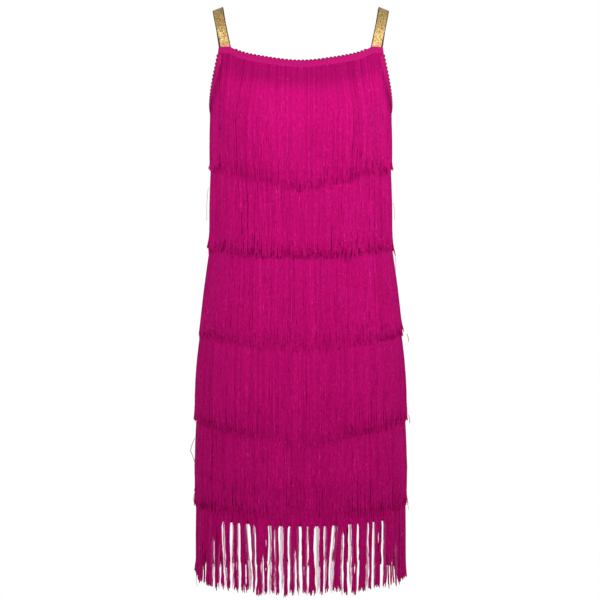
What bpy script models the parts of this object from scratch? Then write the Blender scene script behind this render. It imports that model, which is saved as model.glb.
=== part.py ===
"""Flapper dress: a sleeveless jersey shift under six tiers of long fringe, on two shoulder straps.

The dress keeps the hollow form that it has when worn. Lengths are in metres. Z is up and 0 where the
straps rest on the shoulders, the front of the dress faces -Y, and +X is the wearer's left. Angles are in
degrees round the body: 0 is the left side seam, 90 the middle of the front, 180 the right side seam and
270 the middle of the back.
"""

import itertools
import math
from collections import namedtuple

import bmesh
import bpy
from mathutils import Vector

MM = 0.001

# ---------------------------------------------------------------- cloth and clearances
CLOTH = 1.5 * MM
TRIM_THICKNESS = 1.0 * MM
STRAP_THICKNESS = 1.2 * MM
LOCK_THICKNESS = 1.8 * MM
SEAM_GAP = 0.3 * MM
SEAT_GAP = 0.9 * MM
LAID_ON = 0.8 * MM

# ---------------------------------------------------------------- the shift
# Depths run from the plane of the side seams to the middle of the front and of the back.
Section = namedtuple("Section", "z half_width front back")
SECTIONS = (
    Section(-0.060, 0.1780, 0.0760, 0.0680),
    Section(-0.085, 0.1700, 0.0830, 0.0770),
    Section(-0.115, 0.1605, 0.0920, 0.0850),
    Section(-0.140, 0.1533, 0.0980, 0.0900),
    Section(-0.165, 0.1475, 0.1020, 0.0930),
    Section(-0.200, 0.1443, 0.1040, 0.0940),
    Section(-0.280, 0.1432, 0.1035, 0.0920),
    Section(-0.360, 0.1438, 0.1010, 0.0890),
    Section(-0.415, 0.1485, 0.1020, 0.0940),
    Section(-0.476, 0.1550, 0.1050, 0.1010),
    Section(-0.535, 0.1615, 0.1075, 0.1080),
    Section(-0.600, 0.1655, 0.1090, 0.1130),
    Section(-0.665, 0.1675, 0.1095, 0.1145),
    Section(-0.740, 0.1680, 0.1085, 0.1125),
    Section(-0.800, 0.1675, 0.1075, 0.1100),
    Section(-0.840, 0.1660, 0.1065, 0.1080),
)
SQUARENESS = 2.4  # exponent of the rounded outline that each section has from above

BUST_FULLNESS = 18 * MM
BUST_BRIDGE = 0.72  # share of the fullness that the cloth keeps where it spans the middle
BUST_Z = -0.182
BUST_ANGLE = 33.0  # from the middle of the front
BUST_SPREAD = 22.0
BUST_RISE = 45 * MM
BUST_FALL = 90 * MM

HEM_SIDE_Z = -0.826
HEM_DIP = 6 * MM

# ---------------------------------------------------------------- neckline, armholes and straps
SEAT_Z = -0.069  # top edge of the cloth where a strap is sewn in
UNDERARM_Z = -0.163
ARMHOLE_POWER = 2.2
NECK_POWER = 2.0
NECK_CORNER_SHARE = 0.4  # of the neckline's rise, which comes in its corners, beside the straps
NECK_CORNER_POWER = 14.0
NECK_FRONT_Z = -0.0935
NECK_BACK_Z = -0.110
STRAP_WIDTH = 18 * MM
STRAP_X_FRONT = 0.1222
STRAP_X_TOP = 0.1360
STRAP_X_BACK = 0.1270
STRAP_TUCK = 12 * MM
SHOULDER_SLOPE = 22.0
CROWN_REACH = 34 * MM  # how far the strap runs level from its crown, and straight from its seat
SEAT_REACH = 40 * MM

NECK_TRIM_WIDTH = 11 * MM
ARM_TRIM_WIDTH = 8 * MM
PICOT_PITCH = 6.5 * MM
PICOT_HEIGHT = 2.2 * MM

# ---------------------------------------------------------------- fringe
# The roots of a tier lie at root_side at the side seams and dip to root_front and root_back in the middle,
# the more evenly the higher dip_power is. The tips hang clear by stand_off of what lies under them, and
# steps has the shares of its length at which a lock can bend.
Tier = namedtuple(
    "Tier", "name root_side root_front root_back dip_power length locks lock_share stand_off steps"
)
TIERS = (
    Tier("fringe_tier_2", -0.217, -0.230, -0.223, 1.6, 0.178, 36, 0.90, 3.6 * MM, (0.0, 0.27, 0.66, 1.0)),
    Tier("fringe_tier_3", -0.355, -0.381, -0.364, 1.6, 0.178, 36, 0.90, 3.6 * MM, (0.0, 0.27, 0.66, 1.0)),
    Tier("fringe_tier_4", -0.492, -0.531, -0.506, 1.6, 0.178, 36, 0.90, 4.6 * MM, (0.0, 0.27, 0.66, 1.0)),
    Tier("fringe_tier_5", -0.631, -0.646, -0.637, 1.2, 0.178, 36, 0.90, 3.6 * MM, (0.0, 0.50, 1.0)),
    Tier("fringe_tier_6", -0.749, -0.764, -0.756, 0.8, 0.176, 72, 0.68, 1.2 * MM, (0.0, 0.50, 1.0)),
)
TAPE_HEIGHT = 9 * MM
FULL_STAND_OFF = 0.73  # share of the length at which a lock has swung out by its stand_off
RAGGED = 4 * MM  # how much the tips differ in length
UNEVEN_WAVES = (2.4, 0.7, 1.1)  # radians from lock to lock, of two waves, and from corner to corner

NECK_LOCKS_FRONT = 18
NECK_LOCKS_BACK = 16
NECK_TAPE_HEIGHT = 7 * MM
NECK_TAPE_DROP = 12.6 * MM  # from the top edge of the cloth to the top of the tape
NECK_TAPE_CLEAR = 4.5  # degrees that the tape keeps from the armhole's edge
NECK_LOCK_SHARE = 0.90
NECK_TIP_SIDE_Z = -0.262
NECK_TIP_FRONT_Z = -0.301
NECK_TIP_BACK_Z = -0.292
NECK_STEPS = (0.0, 0.18, 0.38, 0.62, 1.0)
NECK_STAND_OFF = 4.2 * MM
NECK_DIP_POWER = 1.6
NECK_FULL_STAND_OFF = 0.55

# ---------------------------------------------------------------- how finely the solids are divided
COLUMNS_PER_PANEL = 18
CORNER_STEPS = (2.8, 6.5, 12.0)  # degrees from a strap seat to the columns of the neckline's corner
LOWER_ROWS = (0.0, 0.08, 0.16, 0.24, 0.32, 0.40, 0.46, 0.52, 0.58, 0.64)  # shares of the way up a panel
UPPER_ROWS = (0.70, 0.76, 0.82, 0.87, 0.91, 0.95, 0.98, 1.0)
ARMHOLE_SHARES = (0.55, 0.78, 0.90, 0.965, 0.993)  # extra columns where the armhole edge turns steep
STRAP_STEPS = 9
HANG_STEP = 12 * MM
RUN_CHECKS = (0.2, 0.35, 0.5, 0.65, 0.8)  # where a straight run is measured against the cloth
ANGLE_STEP = 0.5
HALVINGS = 40
WALK_STEPS = 400


# ---------------------------------------------------------------- the body's surface
def mix(start, end, share):
    return start + (end - start) * share


def smooth(share):
    share = min(max(share, 0.0), 1.0)
    return share * share * (3 - 2 * share)


def section_at(z):
    """Half width, front depth and back depth at a height, on a smooth curve through the sections."""
    rows = SECTIONS
    last = len(rows) - 1
    z = min(max(z, rows[last].z), rows[0].z)
    i = next(k for k in range(last) if z >= rows[k + 1].z)
    high, low = rows[i], rows[i + 1]
    span = low.z - high.z
    share = (z - high.z) / span

    def slope(k, column):
        before, after = rows[max(k - 1, 0)], rows[min(k + 1, last)]
        return (after[column] - before[column]) / (after.z - before.z) * span

    def column_value(column):
        start, end = high[column], low[column]
        leave, arrive = slope(i, column), slope(i + 1, column)
        rise = end - start
        return start + share * (
            leave + share * (3 * rise - 2 * leave - arrive + share * (leave + arrive - 2 * rise))
        )

    return tuple(column_value(c) for c in (1, 2, 3))


def bust(angle, z):
    """How far the front stands out over the bust, in one soft form that spans the middle."""
    aside = abs(angle - 90)
    if aside >= BUST_ANGLE:
        across = math.exp(-(((aside - BUST_ANGLE) / BUST_SPREAD) ** 2))
    else:
        across = 1 - (1 - BUST_BRIDGE) * (1 - (aside / BUST_ANGLE) ** 2) ** 2
    reach = BUST_RISE if z > BUST_Z else BUST_FALL
    return BUST_FULLNESS * across * math.exp(-(((z - BUST_Z) / reach) ** 2))


def radius(angle, z):
    """Distance of the cloth's outer face from the axis of the body."""
    angle %= 360
    half_width, front, back = section_at(z)
    c, s = math.cos(math.radians(angle)), math.sin(math.radians(angle))
    depth = front if s > 0 else back
    n = SQUARENESS
    plain = (abs(c / half_width) ** n + abs(s / depth) ** n) ** (-1 / n)
    return plain + (bust(angle, z) if s > 0 else 0.0)


def polar(angle, r, z):
    a = math.radians(angle)
    return Vector((r * math.cos(a), -r * math.sin(a), z))


def outward(angle, z):
    """Horizontal direction straight out of the cloth."""
    ahead = polar(angle + ANGLE_STEP, radius(angle + ANGLE_STEP, z), z)
    behind = polar(angle - ANGLE_STEP, radius(angle - ANGLE_STEP, z), z)
    along = (ahead - behind).normalized()
    return Vector((-along.y, along.x, 0.0))


def on_cloth(angle, z, out=0.0):
    """A point on the cloth's outer face, moved straight out."""
    return polar(angle, radius(angle, z), z) + outward(angle, z) * out


def off_cloth(angle, z, out):
    """A point on the cloth's outer face, moved square to the face."""
    up = on_cloth(angle, z + MM) - on_cloth(angle, z - MM)
    along = outward(angle, z).cross(Vector((0, 0, 1)))
    return on_cloth(angle, z) + up.cross(along).normalized() * out


def fullest(angle, root_z, z):
    """The cloth's fullest radius between root_z and z, on which something hung from root_z rests."""
    root_z = max(min(root_z, top_edge(angle)), z)
    steps = max(1, math.ceil((root_z - z) / HANG_STEP))
    return max(radius(angle, mix(root_z, z, k / steps)) for k in range(steps + 1))


def hung(path):
    """Points of something that hangs straight between the (angle, height, distance out) of its path.

    It rests on the fullest part of the cloth above it and drops plumb below. Where the cloth would bulge
    through a straight run, both ends of that run move out.
    """
    root_z = path[0][1]
    radii = [fullest(angle, root_z, z) + out for angle, z, out in path]
    extra = [0.0] * len(path)
    for k, (above, below) in enumerate(zip(path, path[1:])):
        for share in RUN_CHECKS:
            angle, z, out = (mix(a, b, share) for a, b in zip(above, below))
            short = fullest(angle, root_z, z) + out - mix(radii[k], radii[k + 1], share)
            extra[k], extra[k + 1] = max(extra[k], short), max(extra[k + 1], short)
    return [
        polar(angle, r - out, z) + outward(angle, z) * (out + more)
        for (angle, z, out), r, more in zip(path, radii, extra)
    ]


def angle_at_x(x, z, back=False):
    """The angle between the side and the middle at which the cloth is that far from the middle plane."""
    low, high = 1.0, 89.0
    for _ in range(HALVINGS):
        middle = (low + high) / 2
        at = -middle if back else middle
        if on_cloth(at, z).x > x:
            low = middle
        else:
            high = middle
    return low


SEAT_OUTER = angle_at_x(STRAP_X_FRONT + STRAP_WIDTH / 2, SEAT_Z)
SEAT_INNER = angle_at_x(STRAP_X_FRONT - STRAP_WIDTH / 2, SEAT_Z)
BACK_SEAT_OUTER = angle_at_x(STRAP_X_BACK + STRAP_WIDTH / 2, SEAT_Z, back=True)
BACK_SEAT_INNER = angle_at_x(STRAP_X_BACK - STRAP_WIDTH / 2, SEAT_Z, back=True)


def seat_angles(back):
    return (BACK_SEAT_OUTER, BACK_SEAT_INNER) if back else (SEAT_OUTER, SEAT_INNER)


def from_side(angle):
    """(angle from the nearer side seam, True on the back)."""
    angle %= 360
    back = angle > 180
    if back:
        angle = 360 - angle
    return min(angle, 180 - angle), back


def top_edge(angle, clear=0.0):
    """Height of the cloth's top edge: armhole, widened by clear degrees, strap seat or neckline."""
    aside, back = from_side(angle)
    outer, inner = seat_angles(back)
    outer += clear
    if aside < outer:
        rise = 1 - math.sqrt(1 - (aside / outer) ** ARMHOLE_POWER)
        return mix(UNDERARM_Z, SEAT_Z, rise)
    if aside <= inner:
        return SEAT_Z
    neck = NECK_BACK_Z if back else NECK_FRONT_Z
    share = math.cos(math.radians(aside)) / math.cos(math.radians(inner))
    return mix(neck, SEAT_Z, mix(share**NECK_POWER, share**NECK_CORNER_POWER, NECK_CORNER_SHARE))


def hem_edge(angle):
    return HEM_SIDE_Z - HEM_DIP * math.sin(math.radians(angle)) ** 2


def walk(start, end, height_at):
    """(angles, distance run to each) along the cloth between two angles, at the heights of height_at."""
    angles = [mix(start, end, k / WALK_STEPS) for k in range(WALK_STEPS + 1)]
    points = [on_cloth(angle, height_at(angle)) for angle in angles]
    steps = [(after - before).length for before, after in zip(points, points[1:])]
    return angles, [0.0, *itertools.accumulate(steps)]


def divide(angles, run, first, last, count):
    """Angles that divide a walk into equal lengths, from one distance along it to another."""
    found, k = [], 0
    for i in range(count + 1):
        want = mix(first, last, i / count)
        while k < WALK_STEPS - 1 and run[k + 1] < want:
            k += 1
        share = (want - run[k]) / (run[k + 1] - run[k])
        found.append(mix(angles[k], angles[k + 1], min(share, 1.0)))
    return found


def even_angles(start, end, count):
    """Angles that divide the hem's outline between two angles into equal lengths."""
    angles, run = walk(start, end, lambda angle: HEM_SIDE_Z)
    return divide(angles, run, 0.0, run[-1], count)


# ---------------------------------------------------------------- making objects
def material(name, colour, roughness, metallic=0.0):
    made = bpy.data.materials.new(name)
    made.use_nodes = True
    shader = made.node_tree.nodes["Principled BSDF"]
    shader.inputs["Base Color"].default_value = (*colour, 1.0)
    shader.inputs["Roughness"].default_value = roughness
    shader.inputs["Metallic"].default_value = metallic
    return made


def cloth_object(name, mesh, thickness, made_of, outwards=True):
    """The finished piece: a sheet that is given its thickness outwards or inwards of its own face."""
    data = bpy.data.meshes.new(name)
    mesh.to_mesh(data)
    mesh.free()
    data.materials.append(made_of)
    data.shade_smooth()
    piece = bpy.data.objects.new(name, data)
    bpy.context.scene.collection.objects.link(piece)
    solid = piece.modifiers.new("Thickness", "SOLIDIFY")
    solid.thickness = thickness
    solid.offset = 1.0 if outwards else -1.0
    solid.use_even_offset = True
    return piece


def add_grid(mesh, rows, closed=False):
    """Outward faces between rows of points, the top row first and each row run by rising angle."""
    grid = [[mesh.verts.new(point) for point in row] for row in rows]
    for upper, lower in zip(grid, grid[1:]):
        count = len(upper)
        for i in range(count if closed else count - 1):
            j = (i + 1) % count
            mesh.faces.new((upper[i], upper[j], lower[j], lower[i]))
    return grid


# ---------------------------------------------------------------- the two panels
def panel_columns(start, end):
    """Column angles of a panel: even ones, and exact ones at the seats, the armholes and the neck corners."""
    back = start >= 180
    outer, inner = seat_angles(back)
    exact = [inner, (inner + outer) / 2, outer] + [outer * share for share in ARMHOLE_SHARES]
    exact += [inner + step for step in CORNER_STEPS]
    exact = [start + a for a in exact] + [end - a for a in exact]
    apart = (end - start) / COLUMNS_PER_PANEL / 4
    even = even_angles(start, end, COLUMNS_PER_PANEL)
    kept = [a for a in even[1:-1] if all(abs(a - e) > apart for e in exact)]
    return sorted([start, *kept, *exact, end])


def build_panel(name, start, end, made_of):
    """One half of the shift, from the hem to the neckline, ending just short of both side seams."""
    columns = panel_columns(start, end)
    rows = []
    for share in reversed(LOWER_ROWS + UPPER_ROWS):
        row = []
        for angle in columns:
            low, high = hem_edge(angle), top_edge(angle)
            z = low + (high - low) * share
            point = on_cloth(angle, z)
            if angle in (start, end):
                point.y = SEAM_GAP if start >= 180 else -SEAM_GAP
            row.append(point)
        rows.append(row)
    mesh = bmesh.new()
    add_grid(mesh, rows)
    return cloth_object(name, mesh, CLOTH, made_of, outwards=False)


# ---------------------------------------------------------------- picot-edged elastic
def edge_direction(angle):
    """(point on the top edge, direction along the cloth away from that edge)."""
    at = on_cloth(angle, top_edge(angle))
    ahead = on_cloth(angle + ANGLE_STEP, top_edge(angle + ANGLE_STEP))
    behind = on_cloth(angle - ANGLE_STEP, top_edge(angle - ANGLE_STEP))
    along = (ahead - behind).normalized()
    inwards = outward(angle, top_edge(angle)).cross(along).normalized()
    return at, inwards if inwards.z < 0 else -inwards


def picot(index):
    return PICOT_HEIGHT if index % 2 else 0.0


def half_picots(start, end, clear=0.0):
    """Angles that split the top edge into half picots, keeping a distance clear of both of its ends."""
    angles, run = walk(start, end, top_edge)
    last = run[-1] - clear
    return divide(angles, run, clear, last, 2 * round((last - clear) / PICOT_PITCH))


def build_neck_trim(name, start, end, made_of):
    """Elastic along a neckline and over both strap seats, with its picots above the cloth's edge."""
    outer, _ = seat_angles(start >= 180)
    top, bottom = [], []
    for i, angle in enumerate(half_picots(start + outer, end - outer)):
        edge = top_edge(angle)
        top.append(on_cloth(angle, edge, LAID_ON) + Vector((0, 0, picot(i))))
        bottom.append(on_cloth(angle, edge - NECK_TRIM_WIDTH, LAID_ON))
    mesh = bmesh.new()
    add_grid(mesh, [top, bottom])
    return cloth_object(name, mesh, TRIM_THICKNESS, made_of)


def build_armhole_trim(name, middle, made_of):
    """Elastic round one armhole, from under the front neckline's elastic to under the back one's."""
    side = 1 if middle == 0 else -1
    low, high = sorted((side * SEAT_OUTER, -side * BACK_SEAT_OUTER))
    top, bottom = [], []
    for i, angle in enumerate(half_picots(middle + low, middle + high, NECK_TRIM_WIDTH + SEAM_GAP)):
        at, inwards = edge_direction(angle)
        out = outward(angle, at.z) * LAID_ON
        top.append(at - inwards * picot(i) + out)
        bottom.append(at + inwards * ARM_TRIM_WIDTH + out)
    mesh = bmesh.new()
    add_grid(mesh, [top, bottom])
    return cloth_object(name, mesh, TRIM_THICKNESS, made_of)


# ---------------------------------------------------------------- straps
def bezier(a, b, c, d, t):
    s = 1 - t
    return a * s**3 + b * 3 * s * s * t + c * 3 * s * t * t + d * t**3


def strap_line(share, back):
    """One lengthwise line of the left strap, from inside a panel up to the crown, at a share of its width.

    It runs straight as seen from the front.
    """
    outer, inner = seat_angles(back)
    angle = mix(outer, inner, share)
    if back:
        angle = -angle
    seam = -CLOTH - SEAT_GAP
    low, high = off_cloth(angle, SEAT_Z - STRAP_TUCK, seam), off_cloth(angle, SEAT_Z, seam)
    slope = math.radians(SHOULDER_SLOPE)
    aside = STRAP_WIDTH * (0.5 - share)
    crown = Vector((STRAP_X_TOP + math.cos(slope) * aside, 0, -math.sin(slope) * aside))
    lean = Vector((0, CROWN_REACH if back else -CROWN_REACH, 0))
    rise = (high - low).normalized() * SEAT_REACH
    line = [low]
    for k in range(STRAP_STEPS + 1):
        point = bezier(high, high + rise, crown + lean, crown, k / STRAP_STEPS)
        point.x = mix(high.x, crown.x, (point.z - high.z) / (crown.z - high.z))
        line.append(point)
    return line


def build_strap(name, side, made_of):
    """A flat elastic strap, sewn inside the front and back panels, that lies over the shoulder."""
    lines = []
    for share in (0.0, 0.5, 1.0):
        line = strap_line(share, False) + strap_line(share, True)[-2::-1]
        lines.append([Vector((side * p.x, p.y, p.z)) for p in line])
    mesh = bmesh.new()
    add_grid(mesh, lines[::side])
    return cloth_object(name, mesh, STRAP_THICKNESS, made_of, outwards=False)


# ---------------------------------------------------------------- fringe
def sag(edges, heights):
    """How far the straight line between two points on the round cloth cuts into it."""
    angle, z = sum(edges) / 2, sum(heights) / 2
    chord = (on_cloth(edges[0], heights[0]) + on_cloth(edges[1], heights[1])) / 2
    return max(0.0, (on_cloth(angle, z) - chord).dot(outward(angle, z)))


def lock_rows(edges, heights, swing):
    """Rows of two points down a flat lock, top row first: heights has a pair for each, swing how far out."""
    laid = []
    for i, row in enumerate(heights):
        near = heights[max(i - 1, 0) : i + 2]
        cuts = [sag(edges, (row[0], other[1])) for other in near]
        cuts += [sag(edges, (other[0], row[1])) for other in near]
        laid.append(LAID_ON + max(cuts))
    lines = [
        hung([(angle, row[corner], lie + out) for row, lie, out in zip(heights, laid, swing)])
        for corner, angle in enumerate(edges)
    ]
    return list(zip(*lines))


def uneven(index, corner):
    """A tip's own difference in length, the same on every run."""
    short, long, turn = UNEVEN_WAVES
    return RAGGED * math.sin(index * short + corner * turn) * math.cos(index * long)


def build_fringe(name, tape, locks, closed, made_of):
    """A tape with its locks. tape has the top and bottom row of points, two to a lock; locks has, for each
    lock, its further rows of two points."""
    mesh = bmesh.new()
    _, roots = add_grid(mesh, tape, closed)
    for i, rows in enumerate(locks):
        above = roots[2 * i : 2 * i + 2]
        for row in rows:
            below = [mesh.verts.new(point) for point in row]
            mesh.faces.new((above[0], above[1], below[1], below[0]))
            above = below
    return cloth_object(name, mesh, LOCK_THICKNESS, made_of)


def lock_edges(start, end, count, lock_share):
    """(first, last) angle of each lock between two angles, in line with the columns of the panels."""
    lines = even_angles(start, end, count)
    for first, last in zip(lines, lines[1:]):
        spare = (last - first) * (1 - lock_share) / 2
        yield first + spare, last - spare


def tape_and_locks(edge_pairs, root_at, tape_height, tip_at, steps, stand_off, full_at):
    """(tape, locks) for build_fringe, from the height of the roots and of the tips at an angle."""
    top, roots, locks = [], [], []
    for i, edges in enumerate(edge_pairs):
        ends = [(root_at(angle), tip_at(angle) + uneven(i, corner)) for corner, angle in enumerate(edges)]
        heights = [[root + tape_height for root, _ in ends]]
        heights += [[mix(root, tip, share) for root, tip in ends] for share in steps]
        swing = [0.0] + [stand_off * smooth(share / full_at) for share in steps]
        rows = lock_rows(edges, heights, swing)
        top += rows[0]
        roots += rows[1]
        locks.append(rows[2:])
    return [top, roots], locks


def dip(angle, power):
    """0 at the side seams and 1 in the middle of the front and the back."""
    return abs(math.sin(math.radians(angle))) ** power


def build_tier(tier, made_of):
    """A row of fringe that runs right round the dress."""

    def root_at(angle):
        middle = tier.root_front if angle <= 180 else tier.root_back
        return mix(tier.root_side, middle, dip(angle, tier.dip_power))

    halves = [lock_edges(start, start + 180, tier.locks // 2, tier.lock_share) for start in (0, 180)]
    tape, locks = tape_and_locks(
        itertools.chain(*halves),
        root_at,
        TAPE_HEIGHT,
        lambda angle: root_at(angle) - tier.length,
        tier.steps,
        tier.stand_off,
        FULL_STAND_OFF,
    )
    return build_fringe(tier.name, tape, locks, True, made_of)


def build_neck_fringe(name, start, end, count, tip_middle, made_of):
    """The top tier of one panel, whose roots follow the elastic of the armholes and the neckline."""
    tape, locks = tape_and_locks(
        lock_edges(start, end, count, NECK_LOCK_SHARE),
        lambda angle: top_edge(angle, NECK_TAPE_CLEAR) - NECK_TAPE_DROP - NECK_TAPE_HEIGHT,
        NECK_TAPE_HEIGHT,
        lambda angle: mix(NECK_TIP_SIDE_Z, tip_middle, dip(angle, NECK_DIP_POWER)),
        NECK_STEPS,
        NECK_STAND_OFF,
        NECK_FULL_STAND_OFF,
    )
    return build_fringe(name, tape, locks, False, made_of)


def main():
    for left_over in list(bpy.data.objects):
        bpy.data.objects.remove(left_over)

    jersey = material("magenta jersey", (0.45, 0.004, 0.13), 0.75)
    chainette = material("magenta chainette", (0.56, 0.005, 0.18), 0.5)
    elastic = material("magenta picot elastic", (0.56, 0.005, 0.18), 0.6)
    gold = material("gold lurex", (0.62, 0.42, 0.12), 0.35, 0.6)

    build_panel("body_front", 0, 180, jersey)
    build_panel("body_back", 180, 360, jersey)
    build_neck_trim("neck_trim_front", 0, 180, elastic)
    build_neck_trim("neck_trim_back", 180, 360, elastic)
    build_armhole_trim("armhole_trim_left", 0, elastic)
    build_armhole_trim("armhole_trim_right", 180, elastic)
    build_strap("strap_left", 1, gold)
    build_strap("strap_right", -1, gold)
    build_neck_fringe("fringe_neck_front", 0, 180, NECK_LOCKS_FRONT, NECK_TIP_FRONT_Z, chainette)
    build_neck_fringe("fringe_neck_back", 180, 360, NECK_LOCKS_BACK, NECK_TIP_BACK_Z, chainette)
    for tier in TIERS:
        build_tier(tier, chainette)


main()
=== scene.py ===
"""Finishes the flapper dress: jersey slip, picot elastic, gold straps and tiers of chainette fringe.

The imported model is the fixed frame, and every piece made here lies where its CAD node does. Lengths are in
metres. Z is up and 0 where the straps rest on the shoulders, the front of the dress faces -Y, and +X is the
wearer's left. Angles are in degrees round the body: 0 is the left side seam, 90 the middle of the front,
180 the right side seam and 270 the middle of the back.
"""

import math
from collections import namedtuple
from functools import reduce

import bpy
import numpy as np
from bpy.props import FloatProperty, FloatVectorProperty, IntProperty, PointerProperty
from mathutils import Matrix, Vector


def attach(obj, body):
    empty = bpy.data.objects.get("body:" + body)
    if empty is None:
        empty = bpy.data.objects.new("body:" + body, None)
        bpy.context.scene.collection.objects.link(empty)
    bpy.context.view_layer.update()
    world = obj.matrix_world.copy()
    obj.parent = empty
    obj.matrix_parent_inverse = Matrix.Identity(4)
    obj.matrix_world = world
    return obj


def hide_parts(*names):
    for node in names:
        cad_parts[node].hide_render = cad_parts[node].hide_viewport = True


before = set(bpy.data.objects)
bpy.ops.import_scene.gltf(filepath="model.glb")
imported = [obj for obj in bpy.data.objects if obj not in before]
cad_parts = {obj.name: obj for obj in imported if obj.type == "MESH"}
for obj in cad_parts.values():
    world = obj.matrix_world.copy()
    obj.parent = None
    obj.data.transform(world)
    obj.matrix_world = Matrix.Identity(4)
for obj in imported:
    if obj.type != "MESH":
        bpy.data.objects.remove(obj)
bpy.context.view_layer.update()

bl_info = {
    "name": "Flapper dress",
    "version": (1, 0, 0),
    "blender": (4, 5, 0),
    "location": "3D View > Sidebar > Dress",
    "description": "Makes the slip, elastic, straps and fringe of a flapper dress around its packed frame",
    "category": "Object",
}

MM = 0.001
BODY = "root"

# ---------------------------------------------------------------- the dress's own form
# Depths run from the plane of the side seams to the middle of the front and of the back.
Section = namedtuple("Section", "z half_width front back")
SECTIONS = (
    Section(-0.060, 0.1780, 0.0760, 0.0680),
    Section(-0.085, 0.1700, 0.0830, 0.0770),
    Section(-0.115, 0.1605, 0.0920, 0.0850),
    Section(-0.140, 0.1533, 0.0980, 0.0900),
    Section(-0.165, 0.1475, 0.1020, 0.0930),
    Section(-0.200, 0.1443, 0.1040, 0.0940),
    Section(-0.280, 0.1432, 0.1035, 0.0920),
    Section(-0.360, 0.1438, 0.1010, 0.0890),
    Section(-0.415, 0.1485, 0.1020, 0.0940),
    Section(-0.476, 0.1550, 0.1050, 0.1010),
    Section(-0.535, 0.1615, 0.1075, 0.1080),
    Section(-0.600, 0.1655, 0.1090, 0.1130),
    Section(-0.665, 0.1675, 0.1095, 0.1145),
    Section(-0.740, 0.1680, 0.1085, 0.1125),
    Section(-0.800, 0.1675, 0.1075, 0.1100),
    Section(-0.840, 0.1660, 0.1065, 0.1080),
)
SQUARENESS = 2.4

BUST_FULLNESS = 18 * MM
BUST_BRIDGE = 0.72
BUST_Z = -0.182
BUST_ANGLE = 33.0
BUST_SPREAD = 22.0
BUST_RISE = 45 * MM
BUST_FALL = 90 * MM

HEM_SIDE_Z = -0.826
HEM_DIP = 6 * MM

SEAT_Z = -0.069
UNDERARM_Z = -0.163
ARMHOLE_POWER = 2.2
NECK_POWER = 2.0
NECK_CORNER_SHARE = 0.4  # of the neckline's rise, which comes in its corners, beside the straps
NECK_CORNER_POWER = 14.0
NECK_FRONT_Z = -0.0935
NECK_BACK_Z = -0.110

STRAP_WIDTH = 18 * MM
STRAP_X_FRONT = 0.1222
STRAP_X_TOP = 0.1360
STRAP_X_BACK = 0.1270
STRAP_TUCK = 12 * MM
SHOULDER_SLOPE = 22.0
CROWN_REACH = 34 * MM
SEAT_REACH = 40 * MM
STRAP_SEAM = 2.4 * MM  # from the cloth's outer face in to the strap's own

NECK_TRIM_WIDTH = 11 * MM
ARM_TRIM_WIDTH = 8 * MM
LAID_ON = 0.8 * MM

# Heights of a tier's roots at the side seams and in the middle of the front and the back, the power of the
# sine by which they dip between them, the fringe's length below them, how far its tips stand off the cloth,
# and how far the row above stands out where it passes over this one's tape.
Tier = namedtuple("Tier", "piece node root_side root_front root_back dip_power length stand_off ridge")
TIERS = (
    Tier("fringe_row_2", "fringe_tier_2", -0.217, -0.230, -0.223, 1.6, 0.178, 3.6 * MM, 1.5 * MM),
    Tier("fringe_row_3", "fringe_tier_3", -0.355, -0.381, -0.364, 1.6, 0.178, 3.6 * MM, 2.2 * MM),
    Tier("fringe_row_4", "fringe_tier_4", -0.492, -0.531, -0.506, 1.6, 0.178, 4.6 * MM, 2.2 * MM),
    Tier("fringe_row_5", "fringe_tier_5", -0.631, -0.646, -0.637, 1.2, 0.178, 3.6 * MM, 2.4 * MM),
    Tier("fringe_row_6", "fringe_tier_6", -0.746, -0.766, -0.755, 0.5, 0.176, 1.2 * MM, 4.2 * MM),
)
TAPE_HEIGHT = 9 * MM
NECK_TAPE_HEIGHT = 7 * MM
NECK_TAPE_DROP = 10.5 * MM
NECK_TAPE_CLEAR = 2.0
NECK_TIP_SIDE_Z = -0.262
NECK_TIP_FRONT_Z = -0.301
NECK_TIP_BACK_Z = -0.292
NECK_STAND_OFF = 1.7 * MM
NECK_SIDE_STAND_OFF = 1.0 * MM
NECK_DIP_POWER = 1.6

ANGLE_STEP = 0.5
CLING = 0.85  # how far the threads follow the cloth in under the bust

SECTION_Z = np.array([row.z for row in SECTIONS])
SECTION_SIZES = np.array([row[1:] for row in SECTIONS])


def section_slopes():
    after = np.minimum(np.arange(len(SECTIONS)) + 1, len(SECTIONS) - 1)
    before = np.maximum(np.arange(len(SECTIONS)) - 1, 0)
    return (SECTION_SIZES[after] - SECTION_SIZES[before]) / (SECTION_Z[after] - SECTION_Z[before])[:, None]


SECTION_SLOPES = section_slopes()


def mix(start, end, share):
    return start + (end - start) * share


def smooth(share):
    share = np.clip(share, 0.0, 1.0)
    return share * share * (3 - 2 * share)


def unit(vectors):
    return vectors / np.maximum(np.linalg.norm(vectors, axis=-1, keepdims=True), 1e-12)


def together(*values):
    """Values side by side in the last axis of one array."""
    return np.stack(np.broadcast_arrays(*values), -1)


def run_along(points):
    """The distance run to each point of a line."""
    return np.concatenate([[0.0], np.cumsum(np.linalg.norm(np.diff(points, axis=0), axis=1))])


def section_at(z):
    """Half width, front depth and back depth at each height, on a smooth curve through the sections."""
    z = np.clip(z, SECTION_Z[-1], SECTION_Z[0])
    i = np.clip(np.searchsorted(-SECTION_Z, -z, side="right") - 1, 0, len(SECTIONS) - 2)
    span = SECTION_Z[i + 1] - SECTION_Z[i]
    t = ((z - SECTION_Z[i]) / span)[..., None]
    leave, arrive = SECTION_SLOPES[i] * span[..., None], SECTION_SLOPES[i + 1] * span[..., None]
    rise = SECTION_SIZES[i + 1] - SECTION_SIZES[i]
    bend = 3 * rise - 2 * leave - arrive
    found = SECTION_SIZES[i] + t * (leave + t * (bend + t * (leave + arrive - 2 * rise)))
    return np.moveaxis(found, -1, 0)


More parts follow.
